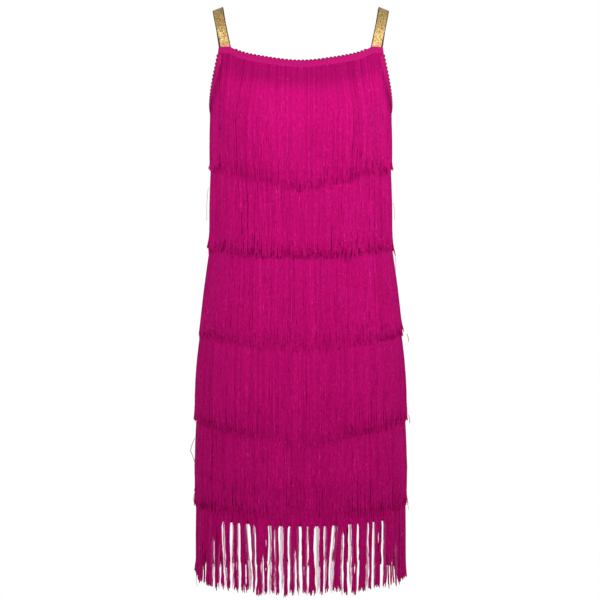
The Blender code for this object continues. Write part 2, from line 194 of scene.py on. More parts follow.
def bust(angle, z):
    aside = np.abs(angle - 90)
    outside = np.exp(-(((aside - BUST_ANGLE) / BUST_SPREAD) ** 2))
    inside = 1 - (1 - BUST_BRIDGE) * (1 - (aside / BUST_ANGLE) ** 2) ** 2
    across = np.where(aside >= BUST_ANGLE, outside, inside)
    reach = np.where(z > BUST_Z, BUST_RISE, BUST_FALL)
    return BUST_FULLNESS * across * np.exp(-(((z - BUST_Z) / reach) ** 2))


def radius(angle, z):
    """Distance of the cloth's outer face from the axis of the body."""
    angle, z = np.broadcast_arrays(np.asarray(angle, float) % 360, np.asarray(z, float))
    half_width, front, back = section_at(z)
    c = np.cos(np.radians(angle))
    s = np.sin(np.radians(angle))
    depth = np.where(s > 0, front, back)
    plain = (np.abs(c / half_width) ** SQUARENESS + np.abs(s / depth) ** SQUARENESS) ** (-1 / SQUARENESS)
    return plain + np.where(s > 0, bust(angle, z), 0.0)


def polar(angle, r, z):
    a = np.radians(angle)
    return together(r * np.cos(a), -r * np.sin(a), z)


def tangent(angle, z):
    """How far the cloth's outer face runs on, level, in one degree."""
    ahead = polar(angle + ANGLE_STEP, radius(angle + ANGLE_STEP, z), z)
    behind = polar(angle - ANGLE_STEP, radius(angle - ANGLE_STEP, z), z)
    return (ahead - behind) / (2 * ANGLE_STEP)


def outward(angle, z):
    """Horizontal direction straight out of the cloth."""
    along = unit(tangent(angle, z))
    return np.stack([-along[..., 1], along[..., 0], np.zeros(along.shape[:-1])], -1)


def on_cloth(angle, z, out=0.0):
    out = np.asarray(out)[..., None]
    return polar(angle, radius(angle, z), z) + outward(angle, z) * out


def angle_at_x(x, z, back=False):
    """The angle from a side seam at which the cloth is that far from the middle plane."""
    fine = np.linspace(1.0, 89.0, 400)
    across = on_cloth(-fine if back else fine, z)[..., 0]
    return float(np.interp(x, across[::-1], fine[::-1]))


SEAT_OUTER = angle_at_x(STRAP_X_FRONT + STRAP_WIDTH / 2, SEAT_Z)
SEAT_INNER = angle_at_x(STRAP_X_FRONT - STRAP_WIDTH / 2, SEAT_Z)
BACK_SEAT_OUTER = angle_at_x(STRAP_X_BACK + STRAP_WIDTH / 2, SEAT_Z, back=True)
BACK_SEAT_INNER = angle_at_x(STRAP_X_BACK - STRAP_WIDTH / 2, SEAT_Z, back=True)


def seat_angles(back):
    """Angles from the nearer side seam to the outer and the inner end of a strap's seat."""
    return (BACK_SEAT_OUTER, BACK_SEAT_INNER) if back else (SEAT_OUTER, SEAT_INNER)


def top_edge(angle, clear=0.0):
    """Height of the cloth's top edge: armhole, strap seat or neckline."""
    angle = np.asarray(angle, float) % 360
    back = angle > 180
    folded = np.where(back, 360 - angle, angle)
    aside = np.minimum(folded, 180 - folded)
    outer = np.where(back, BACK_SEAT_OUTER, SEAT_OUTER) + clear
    inner = np.where(back, BACK_SEAT_INNER, SEAT_INNER)
    rise = 1 - np.sqrt(1 - np.clip(aside / outer, 0.0, 1.0) ** ARMHOLE_POWER)
    neck = np.where(back, NECK_BACK_Z, NECK_FRONT_Z)
    share = np.cos(np.radians(aside)) / np.cos(np.radians(inner))
    share = np.clip(share, 0.0, 1.0)
    neckline = mix(neck, SEAT_Z, mix(share**NECK_POWER, share**NECK_CORNER_POWER, NECK_CORNER_SHARE))
    return np.where(aside < outer, mix(UNDERARM_Z, SEAT_Z, rise), np.where(aside <= inner, SEAT_Z, neckline))


def hem_edge(angle):
    return HEM_SIDE_Z - HEM_DIP * np.sin(np.radians(angle)) ** 2


def dip(angle, power):
    """0 at the side seams and 1 in the middle of the front and the back."""
    return np.abs(np.sin(np.radians(angle))) ** power


def arc_table(start, end, z):
    """(angles, distance run to each) along the cloth between two angles at a height."""
    angles = np.linspace(start, end, 1441)
    return angles, run_along(on_cloth(angles, z))


def hang(angle, z, aside, out):
    """Points of rows that hang down from the first, whose angles are given. The cloth pushes them out, square
    to itself, where it swells, and they lean in again below. Each row is then moved aside and outwards."""
    rows = []
    lying = radius(angle, z[0])
    for i in range(len(z)):
        cloth = radius(angle, z[i])
        place, straight_out = polar(angle, lying, z[i]), outward(angle, z[i])
        radial = unit(place * (1, 1, 0))
        push = np.maximum(cloth - lying, 0) * (radial * straight_out).sum(-1)
        place = place + straight_out * push[..., None]
        turned = np.degrees(np.arctan2(-place[..., 1], place[..., 0]))
        angle = angle + (turned - angle + 180) % 360 - 180
        lying = np.hypot(place[..., 0], place[..., 1])
        swung = angle + aside[i] / np.linalg.norm(tangent(angle, z[i]), axis=-1)
        clear = np.maximum(lying - radius(angle, z[i]), 0)
        swung_out = radius(swung, z[i]) + clear * (1 - CLING * dip(angle, 1.0))
        rows.append(polar(swung, swung_out, z[i]) + outward(swung, z[i]) * out(swung, z[i], i)[..., None])
    return np.stack(rows)


# ---------------------------------------------------------------- meshes
def mesh_object(name, points, faces):
    mesh = bpy.data.meshes.new(name)
    mesh.from_pydata(np.asarray(points).reshape(-1, 3).tolist(), [], np.asarray(faces).tolist())
    made = bpy.data.objects.new(name, mesh)
    bpy.context.scene.collection.objects.link(made)
    return made


def grid_faces(rows, columns, first=0, closed=False):
    """Quads between rows of points whose numbers run row by row from first."""
    across = columns if closed else columns - 1
    r, c = np.meshgrid(np.arange(rows - 1), np.arange(across), indexing="ij")
    right = (c + 1) % columns
    near, far = r * columns, (r + 1) * columns
    return np.stack([near + c, near + right, far + right, far + c], -1).reshape(-1, 4) + first


def corner_points(mesh):
    """The number of the point at each corner."""
    corner = np.zeros(len(mesh.loops), np.int32)
    mesh.loops.foreach_get("vertex_index", corner)
    return corner


def set_corner_map(mesh, name, values):
    """A UV map with a value for each corner."""
    layer = mesh.uv_layers.new(name=name)
    layer.uv.foreach_set("vector", np.asarray(values, np.float32).ravel())


def set_point_map(mesh, name, values):
    """A UV map whose value at each corner is that of its point."""
    set_corner_map(mesh, name, np.asarray(values, np.float32).reshape(-1, 2)[corner_points(mesh)])


def set_point_values(mesh, name, values, kind="FLOAT", key="value"):
    attribute = mesh.attributes.new(name, kind, "POINT")
    attribute.data.foreach_set(key, np.asarray(values, np.float32).ravel())


def with_thickness(made, thickness, outwards):
    """Gives a sheet its thickness outwards or inwards of its face, and makes that plain mesh."""
    solid = made.modifiers.new("Thickness", "SOLIDIFY")
    solid.thickness = thickness
    solid.offset = 1.0 if outwards else -1.0
    solid.use_even_offset = True
    return made_plain(made)


def made_plain(made):
    """Turns what an object's modifiers make into its own mesh, and takes the modifiers away."""
    bpy.context.view_layer.update()
    graph = bpy.context.evaluated_depsgraph_get()
    mesh = bpy.data.meshes.new_from_object(made.evaluated_get(graph), depsgraph=graph)
    before = made.data
    made.modifiers.clear()
    made.data = mesh
    bpy.data.meshes.remove(before)
    mesh.name = made.name
    mesh.shade_smooth()
    return made


def finish_piece(made, material, slot, *nodes):
    made.data.materials.clear()
    made.data.materials.append(material)
    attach(made, BODY)
    if nodes:
        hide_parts(*nodes)
    return made


# ---------------------------------------------------------------- node trees
class Graph:
    """A node tree that is being filled. Each call adds a node and gives back the node or what it puts out."""

    def __init__(self, tree):
        self.tree = tree

    def add(self, kind, inputs=None, **settings):
        made = self.tree.nodes.new(kind)
        for key, value in settings.items():
            setattr(made, key, value)
        for key, value in (inputs or {}).items():
            self.fill(made, key, value)
        return made

    def fill(self, made, key, value):
        if isinstance(key, int):
            socket = made.inputs[key]
        else:
            socket = next(s for s in made.inputs if s.name == key and s.enabled)
        if isinstance(value, bpy.types.Node):
            value = next(s for s in value.outputs if s.enabled)
        if isinstance(value, bpy.types.NodeSocket):
            self.tree.links.new(value, socket)
        else:
            socket.default_value = value

    def result(self, kind, inputs=None, **settings):
        """The first thing that a node puts out."""
        return next(s for s in self.add(kind, inputs, **settings).outputs if s.enabled)

    def math(self, operation, *values):
        return self.result("ShaderNodeMath", dict(enumerate(values)), operation=operation)

    def plus(self, *values):
        return reduce(lambda a, b: self.math("ADD", a, b), values)

    def minus(self, value, less):
        return self.math("SUBTRACT", value, less)

    def times(self, *values):
        return reduce(lambda a, b: self.math("MULTIPLY", a, b), values)

    def over(self, value, divisor):
        return self.math("DIVIDE", value, divisor)

    def vector(self, operation, *values):
        return self.result("ShaderNodeVectorMath", dict(enumerate(values)), operation=operation)

    def scaled(self, vector, scale):
        return self.result("ShaderNodeVectorMath", {0: vector, "Scale": scale}, operation="SCALE")

    def combine(self, x=0.0, y=0.0, z=0.0):
        return self.result("ShaderNodeCombineXYZ", {0: x, 1: y, 2: z})

    def parts(self, vector):
        """The x, y and z of a vector."""
        return self.add("ShaderNodeSeparateXYZ", {0: vector}).outputs[:]

    def noise(self, vector, scale=1.0, detail=1.0):
        return self.add("ShaderNodeTexNoise", {"Vector": vector, "Scale": scale, "Detail": detail})

    def ramp(self, value, low, high, start=0.0, end=1.0, kind="SMOOTHSTEP"):
        inputs = {"Value": value, "From Min": low, "From Max": high, "To Min": start, "To Max": end}
        return self.result("ShaderNodeMapRange", inputs, interpolation_type=kind)

    def mix_color(self, factor, first, second, blend="MIX"):
        inputs = {"Factor": factor, "A": first, "B": second}
        return self.result("ShaderNodeMix", inputs, data_type="RGBA", blend_type=blend)

    def place(self):
        return self.add("ShaderNodeTexCoord").outputs["Object"]

    def uv(self, name):
        return self.result("ShaderNodeUVMap", uv_map=name)

    def attribute(self, name, kind):
        return self.result("GeometryNodeInputNamedAttribute", {"Name": name}, data_type=kind)

    def store(self, geometry, name, value):
        inputs = {"Geometry": geometry, "Name": name, "Value": value}
        return self.add("GeometryNodeStoreNamedAttribute", inputs, data_type="FLOAT", domain="POINT")

    def coat(self, geometry, material):
        """Makes instances real and gives everything its material."""
        plain = self.add("GeometryNodeRealizeInstances", {"Geometry": geometry})
        return self.add("GeometryNodeSetMaterial", {"Geometry": plain, "Material": material})


def kept(store, name):
    """Has a function give back what Blender's data already holds by that name, or else make it."""

    def wrap(make):
        def find(*given):
            return getattr(bpy.data, store).get(name) or make(name, *given)

        return find

    return wrap


def new_tree(name, kind, inputs, outputs):
    """(graph, sockets that it is given, group output node) of a new node group. Each socket has a label,
    the kind of value that it holds and, where it needs one, a default."""
    tree = bpy.data.node_groups.new(name, kind)
    for in_out, sockets in (("INPUT", inputs), ("OUTPUT", outputs)):
        for label, holds, *default in sockets:
            socket = tree.interface.new_socket(label, in_out=in_out, socket_type="NodeSocket" + holds)
            if default:
                socket.default_value = default[0]
    graph = Graph(tree)
    return graph, graph.add("NodeGroupInput").outputs, graph.add("NodeGroupOutput")


def run_tree(made, tree, inputs):
    """Puts an object through a geometry tree and keeps the result as its own mesh."""
    modifier = made.modifiers.new(tree.name, "NODES")
    modifier.node_group = tree
    for item in tree.interface.items_tree:
        if item.in_out == "INPUT" and item.name in inputs:
            modifier[item.identifier] = inputs[item.name]
    return made_plain(made)


# ---------------------------------------------------------------- shader groups
FULL_TURN = 2 * math.pi
LOOP_RELIEF = 0.1  # heights in millimetres
CURL_RELIEF = 1.5
CRINKLE_REACH = (0.03, 0.10)  # metres down a thread over which its crinkle sets in
CRINKLE_AT_ROOT = 0.3
# painted shade: loops are coloured lighter on their tops than in the hollows between them
LOOP_TONE = 0.1
# painted light and shade: how strongly the tone streaks lighter and deeper along a crinkled thread
DASH_CONTRAST = 2.1
TONE_RANGE = (0.12, 0.80)
TONE_APART = 311.0  # sets the streaks of two threads of nearly the same tone far apart
# painted highlight: the streaks and tones at which a thread's colour turns to Glint, for light caught on its
# bends
GLINT_STREAKS = (0.56, 0.74)
GLINT_TONES = (0.4, 0.8)
ROOT_SHADE = 0.45  # painted shade: how much deeper the threads are coloured where they crowd together under the neckline
# painted shade: what the roots' colour is multiplied by
ROOT_SHADE_TINT = (0.45, 0.45, 0.45, 1.0)
ROOT_REACH = (0.03, 0.08)  # metres down a thread over which that shade ends
ROOT_HEIGHTS = (-0.21, -0.18)  # between which it sets in
BETWEEN_RIBS = 0.4  # of a stitch's height, which is left between two ribs
CLUMP_SCALE = 0.5  # of the flakes' scale, at which flakes look alike


def stitch_rows(graph, course, slant):
    """Rows of loops, each a wave that slants up on both sides of its middle."""
    turn = graph.times(graph.plus(course, slant), FULL_TURN)
    return graph.ramp(graph.math("SINE", turn), -1.0, 1.0)


@kept("node_groups", "Knit stitches")
def knit_group(name):
    """Rows of V stitches, for jersey and for elastic, coloured deeper towards their hollows: painted shade.
    """
    inputs = [
        ("Place", "Vector"),
        ("Wale", "Float", 1.3 * MM),
        ("Course", "Float", 1.0 * MM),
        ("Ribbed", "Float", 0.0),
        ("Bright", "Color"),
        ("Deep", "Color"),
    ]
    graph, given, out = new_tree(name, "ShaderNodeTree", inputs, [("Color", "Color"), ("Height", "Float")])
    across, up, _ = graph.parts(given["Place"])
    wale = graph.math("FRACT", graph.over(across, given["Wale"]))
    slant = graph.math("ABSOLUTE", graph.minus(wale, 0.5))
    loops = stitch_rows(graph, graph.over(up, given["Course"]), slant)
    ribs = graph.ramp(graph.math("SINE", graph.times(slant, FULL_TURN)), 0.0, 1.0)
    height = graph.times(loops, graph.plus(graph.times(ribs, 1 - BETWEEN_RIBS), BETWEEN_RIBS))
    height = graph.plus(height, graph.times(graph.minus(ribs, height), given["Ribbed"]))
    graph.fill(out, "Height", height)
    # painted shade: the colour runs from Deep in the hollows to Bright on the loops and ribs
    graph.fill(out, "Color", graph.mix_color(height, given["Deep"], given["Bright"]))
    return graph.tree


@kept("node_groups", "Chainette loops")
def chainette_group(name):
    """The chain of loops that a fringe thread is knitted as, and the crinkle that it has further down. Thread
    is (round the thread, metres along it), and Place is where it hangs."""
    inputs = [
        ("Thread", "Vector"),
        ("Place", "Vector"),
        ("Tone", "Float", 0.5),
        ("Loop", "Float", 1.7 * MM),
        ("Streak", "Float", 10.0 * MM),
        ("Strand", "Float", 2.4 * MM),
        ("Curl", "Float", 4.5 * MM),
        ("Glint", "Color"),
        ("Bright", "Color"),
        ("Deep", "Color"),
    ]
    graph, given, out = new_tree(name, "ShaderNodeTree", inputs, [("Color", "Color"), ("Height", "Float")])
    around, down, _ = graph.parts(given["Thread"])
    crinkled = graph.ramp(down, *CRINKLE_REACH, CRINKLE_AT_ROOT, 1.0)
    slant = graph.math("ABSOLUTE", graph.minus(around, 0.5))
    loops = stitch_rows(graph, graph.over(down, given["Loop"]), slant)

    strand = graph.over(1.0, given["Strand"])
    curl_size = graph.combine(strand, strand, graph.over(1.0, given["Curl"]))
    curls = graph.noise(graph.vector("MULTIPLY", given["Place"], curl_size))
    relief = graph.times(curls, crinkled, CURL_RELIEF)
    graph.fill(out, "Height", graph.plus(graph.times(loops, LOOP_RELIEF), relief))

    # painted light and shade: streaks of lighter and deeper tone along the crinkled part of each thread stand
    # in for light caught on its bends
    streak_place = graph.combine(graph.times(given["Tone"], TONE_APART), graph.over(down, given["Streak"]))
    streaks = graph.noise(streak_place)
    crinkle_light_dashes = graph.times(graph.minus(streaks, 0.5), graph.times(crinkled, DASH_CONTRAST))
    tone = graph.ramp(given["Tone"], 0.0, 1.0, *TONE_RANGE, kind="LINEAR")
    # painted shade: the loops' height lightens the tone on their tops
    tone = graph.plus(tone, graph.plus(crinkle_light_dashes, graph.times(loops, LOOP_TONE)))
    color = graph.mix_color(tone, given["Deep"], given["Bright"])

    # painted shade: near their roots, high on the dress, the threads' colour is mixed towards a deeper one,
    # for the shade where they crowd under the neckline
    hangs_at = graph.parts(given["Place"])[2]
    root_shade_mask = graph.ramp(down, *ROOT_REACH, ROOT_SHADE, 0.0)
    root_shade_mask = graph.times(root_shade_mask, graph.ramp(hangs_at, *ROOT_HEIGHTS))
    shade = graph.mix_color(1.0, given["Deep"], ROOT_SHADE_TINT, "MULTIPLY")
    color = graph.mix_color(root_shade_mask, color, shade)

    # painted highlight: the colour turns to Glint in bright dashes
    glint = graph.times(graph.ramp(streaks, *GLINT_STREAKS), graph.ramp(given["Tone"], *GLINT_TONES))
    graph.fill(out, "Color", graph.mix_color(glint, color, given["Glint"]))
    return graph.tree


@kept("node_groups", "Glitter flakes")
def glitter_group(name):
    """Flakes that catch the light each at its own angle, by a tilted normal and by painted colour: bright for
    a lit flake, deep for a shaded one.
    """
    inputs = [
        ("Place", "Vector"),
        ("Scale", "Float", 520.0),
        ("Tilt", "Float", 0.8),
        ("Bright", "Color"),
        ("Middle", "Color"),
        ("Deep", "Color"),
    ]
    outputs = [("Color", "Color"), ("Normal", "Vector"), ("Shade", "Float")]
    graph, given, out = new_tree(name, "ShaderNodeTree", inputs, outputs)

    def cells(scale):
        """(a chance colour for each cell, its three parts)"""
        color = graph.add("ShaderNodeTexVoronoi", {"Vector": given["Place"], "Scale": scale}).outputs["Color"]
        return color, graph.add("ShaderNodeSeparateColor", {0: color}).outputs

    turn, flake = cells(given["Scale"])
    _, clump = cells(graph.times(given["Scale"], CLUMP_SCALE))
    # painted highlight and shade: random flakes are coloured bright as though lit, and others deep as though
    # turned from the light
    lit = graph.ramp(graph.plus(flake[0], clump[0]), 0.95, 1.65)
    dark = graph.ramp(graph.plus(flake[1], clump[1]), 1.0, 1.6)
    color = graph.mix_color(lit, given["Middle"], given["Bright"])
    lean = graph.vector("SUBTRACT", turn, (0.5, 0.5, 0.5))
    normal = graph.add("ShaderNodeNewGeometry").outputs["Normal"]
    tilted = graph.vector("NORMALIZE", graph.vector("ADD", normal, graph.scaled(lean, given["Tilt"])))
    graph.fill(out, "Color", graph.mix_color(dark, color, given["Deep"]))
    graph.fill(out, "Normal", tilted)
    graph.fill(out, "Shade", flake[2])
    return graph.tree


# ---------------------------------------------------------------- materials
SHEEN_TINT = (1.0, 0.03, 0.35, 1.0)
SEAT_TINT_HEIGHT = 6 * MM  # how far up a strap from its seat the colour turns pinker
FADE_REACH = (0.070, 0.082)  # metres down the lowest row, over which the loose threads turn pale: painted light coming through them
PICOT_SHADE = 0.38  # painted shade: the scallops' colour beside the band's, deeper for the shade on their thin edges


def new_material(name):
    """(material, graph, its Principled BSDF)"""
    made = bpy.data.materials.new(name)
    made.use_nodes = True
    return made, Graph(made.node_tree), made.node_tree.nodes["Principled BSDF"]


def set_sockets(shader, **values):
    """Constant values go straight onto the shader's sockets."""
    for name, value in values.items():
        shader.inputs[name.replace("_", " ")].default_value = value


def rgba(color, shade=1.0):
    return (*(part * shade for part in color), 1.0)


def bump(graph, shader, height, strength, distance):
    made = graph.add("ShaderNodeBump", {"Strength": strength, "Distance": distance, "Height": height})
    graph.fill(shader, "Normal", made)


def chainette_material(name, settings, bright, deep, glint, fades=False):
    made, graph, shader = new_material(name)
    thread, place = graph.uv("thread"), graph.place()
    tone = graph.add("ShaderNodeAttribute", attribute_name="tone").outputs["Fac"]
    patches = graph.noise(place, 14.0, 2.0)
    tone = graph.plus(tone, graph.times(graph.minus(patches, 0.5), 0.3))
    inputs = {
        "Thread": thread,
        "Place": place,
        "Tone": graph.ramp(tone, 0.0, 1.0, kind="LINEAR"),
        "Loop": settings.loop_length,
        "Glint": rgba(glint),
        "Bright": rgba(bright),
        "Deep": rgba(deep),
    }
    loops = graph.add("ShaderNodeGroup", inputs, node_tree=chainette_group())
    color = loops.outputs["Color"]
    # painted light: down the loose threads the colour turns from the fringe's to their pale one
    if fades:
        faded = graph.ramp(graph.parts(thread)[1], *FADE_REACH)
        color = graph.mix_color(faded, rgba(settings.bright), color)
    graph.fill(shader, "Base Color", color)
    bump(graph, shader, loops.outputs["Height"], 1.0, MM)
    set_sockets(shader, Roughness=0.5, Specular_IOR_Level=0.16, Sheen_Weight=0.15, Sheen_Roughness=0.4)
    set_sockets(shader, Specular_Tint=(1.0, 0.1, 0.5, 1.0), Sheen_Tint=SHEEN_TINT)
    return made


@kept("materials", "magenta_chainette")
def fringe_material(name, settings):
    return chainette_material(name, settings, settings.bright, settings.deep, settings.glint)


@kept("materials", "pale_chainette")
def loose_material(name, settings):
    """Fine threads let the light through, and that light is painted in: they are coloured paler than a lock.
    """
    deep = mix(np.array(settings.bright), np.array(settings.pale), 0.85)
    return chainette_material(name, settings, settings.pale, deep, settings.pale, fades=True)


@kept("materials", "magenta_jersey")
def jersey_material(name, settings):
    made, graph, shader = new_material(name)
    inputs = {
        "Place": graph.uv("cloth"),
        "Wale": settings.wale,
        "Course": settings.course,
        "Bright": rgba(settings.color),
        # painted shade in the hollows of the stitches
        "Deep": rgba(settings.color, 0.62),
    }
    knit = graph.add("ShaderNodeGroup", inputs, node_tree=knit_group())
    # darker in soft random blotches
    blotches = graph.ramp(graph.noise(graph.place(), 24.0, 4.0), 0.25, 0.75, 0.82, 1.0)
    blotched = graph.mix_color(1.0, knit.outputs["Color"], graph.combine(blotches, blotches, blotches), "MULTIPLY")
    graph.fill(shader, "Base Color", blotched)
    bump(graph, shader, knit.outputs["Height"], 0.5, 0.2 * MM)
    set_sockets(shader, Roughness=0.78, Specular_IOR_Level=0.22, Sheen_Weight=0.2, Sheen_Roughness=0.5)
    set_sockets(shader, Sheen_Tint=SHEEN_TINT)
    return made


def ribbed_material(name, settings, shade):
    made, graph, shader = new_material(name)
    inputs = {
        "Place": graph.uv("cloth"),
        "Wale": settings.rib,
        "Course": settings.rib * 0.4,
        "Ribbed": 0.75,
        "Bright": rgba(settings.color, shade),
        # painted shade in the hollows between the ribs
        "Deep": rgba(settings.color, shade * 0.05),
    }
    knit = graph.add("ShaderNodeGroup", inputs, node_tree=knit_group())
    graph.fill(shader, "Base Color", knit.outputs["Color"])
    bump(graph, shader, knit.outputs["Height"], 0.6, 0.3 * MM)
    set_sockets(shader, Roughness=0.65, Specular_IOR_Level=0.08)
    return made


@kept("materials", "magenta_elastic")
def elastic_material(name, settings):
    return ribbed_material(name, settings, 1.0)


@kept("materials", "magenta_picot")
def picot_material(name, settings):
    # painted shade: the scallops are coloured deeper than the band
    return ribbed_material(name, settings, PICOT_SHADE)


@kept("materials", "gold_lurex")
def gold_material(name, settings):
    made, graph, shader = new_material(name)
    place, across = graph.place(), graph.parts(graph.uv("cloth"))[0]
    inputs = {
        "Place": place,
        "Scale": settings.flakes_per_metre,
        "Tilt": 0.45,
        "Bright": rgba(settings.bright),
        "Middle": rgba(settings.color),
        "Deep": rgba(settings.deep),
    }
    flakes = graph.add("ShaderNodeGroup", inputs, node_tree=glitter_group())
    from_middle = graph.math("ABSOLUTE", graph.minus(across, 0.5))
    edge = graph.ramp(from_middle, 0.5 - settings.edge_share, 0.5 - settings.edge_share * 0.55)
    # painted shade: where the strap turns away from the view, as over the shoulder, its colour turns to the
    # edge colour
    facing = graph.add("ShaderNodeLayerWeight", {"Blend": 0.5}).outputs["Facing"]
    dark = graph.math("MAXIMUM", edge, graph.ramp(facing, 0.8, 0.97, 0.0, 0.8))
    # pinker towards the strap's seat
    seat_tint = graph.ramp(graph.parts(place)[2], SEAT_Z - MM, SEAT_Z + SEAT_TINT_HEIGHT, 0.75, 0.0)
    color = graph.mix_color(seat_tint, flakes.outputs["Color"], rgba(settings.seat_tint_color))
    graph.fill(shader, "Base Color", graph.mix_color(dark, color, rgba(settings.edge_and_rim_shade_color)))
    graph.fill(shader, "Normal", flakes.outputs["Normal"])
    graph.fill(shader, "Metallic", graph.ramp(edge, 0.0, 1.0, 0.45, 0.0))
    graph.fill(shader, "Roughness", graph.ramp(flakes.outputs["Shade"], 0.0, 1.0, 0.36, 0.62))
    return made


# ---------------------------------------------------------------- the slip
ARMHOLE_SHARES = (0.55, 0.7, 0.8, 0.88, 0.94, 0.97, 0.985, 0.995)
HEM_FOLD = 13 * MM
HEM_TURN = 0.8 * MM
SEAM_ALLOWANCE = 7 * MM
SEAM_TURNS = ((0, 1.0), (0, 0.5), (-1, 0.5), (-1, 1.0))  # (end of the panel, share of the seam allowance)
SLIP_ROWS = 48
FOLDS = 9  # round the slip
FOLD_DEPTH = 1.4 * MM
CREASES = 26  # fine slanting ones round the slip, which show beside the armholes alone
CREASE_SLANT = 70  # radians a metre
CREASE_DEPTH = 0.8 * MM
CREASE_RISE = 0.02  # of their middle above the underarm
CREASE_REACH = 0.035


def drape(angle, z):
    """How far the slip falls in from its fullest form, in soft upright folds that deepen towards the hem."""
    down = smooth((UNDERARM_Z - z) / (UNDERARM_Z - HEM_SIDE_Z))
    a = np.radians(angle)
    wave = np.sin(a * FOLDS + 1.3 * np.sin(a * 2 + 0.7)) * 0.5 + 0.5
    creased = np.exp(-(((z - UNDERARM_Z - CREASE_RISE) / CREASE_REACH) ** 2))
    pull = creased * (np.sin(a * CREASES + z * CREASE_SLANT) * 0.5 + 0.5)
    beside = np.exp(-((np.abs(np.cos(a)) - 0.93) / 0.08) ** 2)
    return FOLD_DEPTH * down * wave + CREASE_DEPTH * pull * beside


def slip_columns(start):
    outer, inner = seat_angles(start >= 180)
    exact = np.array([inner, outer] + [outer * share for share in ARMHOLE_SHARES])
    aside = np.unique(np.concatenate([np.linspace(0, 90, 61), exact]))
    return start + np.unique(np.concatenate([aside, 180 - aside]))


def make_slip_panel(settings, name, start, node):
    """One half of the slip, with its hem turned up inside."""
    columns = slip_columns(start)
    shares = np.linspace(1, 0, SLIP_ROWS)
    hem, top = hem_edge(columns), top_edge(columns)
    z = hem + (top - hem) * shares[:, None]
    angle = np.broadcast_to(columns, z.shape)
    inwards = -drape(angle, z)
    body = on_cloth(angle, z, inwards)
    fold_in = -2.2 * settings.thickness
    fold = (
        (0.35 * fold_in, -HEM_TURN),
        (0.8 * fold_in, -HEM_TURN * 0.7),
        (fold_in, 0.0),
        (fold_in, HEM_FOLD),
    )
    turned = [on_cloth(columns, hem + rise, inwards[-1] + out) for out, rise in fold]
    points = np.concatenate([body, np.stack(turned)])
    points[:, [0, -1], 1] = 0.0
    turns = []
    for end, share in SEAM_TURNS:
        edge = points[:, [end]]
        turns.append(edge - np.sign(edge[..., :1]) * np.array([SEAM_ALLOWANCE * share, 0.0, 0.0]))
    points = np.concatenate(turns[:2] + [points] + turns[2:], axis=1)
    made = mesh_object(name, points, grid_faces(*points.shape[:2]))
    _, run = arc_table(start, start + 180, HEM_SIDE_Z)
    along = np.interp(columns, np.linspace(start, start + 180, len(run)), run)
    past = SEAM_ALLOWANCE * np.array([0.5, 1.0])
    across = np.concatenate([-past[::-1], along, along[-1] + past])
    set_point_map(made.data, "cloth", together(across, points[..., 2]))
    with_thickness(made, settings.thickness, outwards=False)
    finish_piece(made, jersey_material(settings), "jersey", node)
    return made


# ---------------------------------------------------------------- picot-edged elastic
PICOT_FILL = 0.84  # share of the pitch that a scallop takes
PICOT_GAP = 6 * MM  # from a strap to the neckline's first scallop
PICOT_SPLAY = 0.7  # how far the armholes' scallops turn out of the cloth
BAND_SHARES = (0.0, 0.12, 0.35, 0.7, 0.9, 1.0)  # of a band's width, and how much of its crown it has there
BAND_CROWN = (0.0, 0.4, 1.0, 1.0, 0.4, 0.0)


@kept("node_groups", "Beads")
def bead_tree(name):
    """A bead on every point of a mesh. The points carry the directions along the row and out of it."""
    inputs = [
        ("Geometry", "Geometry"),
        ("Length", "Float", 5.5 * MM),
        ("Thickness", "Float", 1.4 * MM),
        ("Height", "Float", 4.2 * MM),
        ("Segments", "Int", 8),
        ("Rings", "Int", 6),
        ("Material", "Material"),
    ]
    graph, given, out = new_tree(name, "GeometryNodeTree", inputs, [("Geometry", "Geometry")])
    axes = {
        "Primary Axis": graph.attribute("away", "FLOAT_VECTOR"),
        "Secondary Axis": graph.attribute("along", "FLOAT_VECTOR"),
    }
    turned = graph.add("FunctionNodeAxesToRotation", axes, primary_axis="Z", secondary_axis="X")
    ball = {"Segments": given["Segments"], "Rings": given["Rings"], "Radius": 0.5}
    placed = {
        "Points": given["Geometry"],
        "Instance": graph.add("GeometryNodeMeshUVSphere", ball),
        "Rotation": turned,
        "Scale": graph.combine(given["Length"], given["Thickness"], given["Height"]),
    }
    beads = graph.add("GeometryNodeInstanceOnPoints", placed)
    graph.fill(out, "Geometry", graph.coat(beads, given["Material"]))
    return graph.tree


def bead_places(line, away, pitch, zigzag):
    """(place, way out, way along) of each bead, evenly spaced along a line."""
    run = run_along(line)
    count = max(1, round(run[-1] / pitch))
    wanted = (np.arange(count) + 0.5) * (run[-1] / count)
    along = np.gradient(line, axis=0)
    found = [[np.interp(wanted, run, values[:, k]) for k in range(3)] for values in (line, away, along)]
    place, away, along = (np.stack(values, -1) for values in found)
    side = np.cross(away, unit(along)) * np.where(np.arange(count) % 2, 1.0, -1.0)[:, None]
    return place, away, unit(unit(along) * pitch + side * zigzag)


def set_beads(name, lines, pitch, sizes, material, slot, zigzag=0.0):
    """Scallops or stitches along each (line, way out). Sizes are a bead's length, thickness and height, and
    its segments and rings."""
    placed = [bead_places(line, away, pitch, zigzag) for line, away in lines]
    place, away, along = (np.concatenate(part) for part in zip(*placed))
    made = mesh_object(name, place, [])
    set_point_values(made.data, "away", away, "FLOAT_VECTOR", "vector")
    set_point_values(made.data, "along", along, "FLOAT_VECTOR", "vector")
    inputs = dict(zip(("Length", "Thickness", "Height", "Segments", "Rings"), sizes))
    run_tree(made, bead_tree(), {**inputs, "Material": material})
    points = np.zeros(len(made.data.vertices) * 3, np.float32)
    made.data.vertices.foreach_get("co", points)
    set_point_map(made.data, "cloth", points.reshape(-1, 3)[:, [0, 2]])
    return finish_piece(made, material, slot)


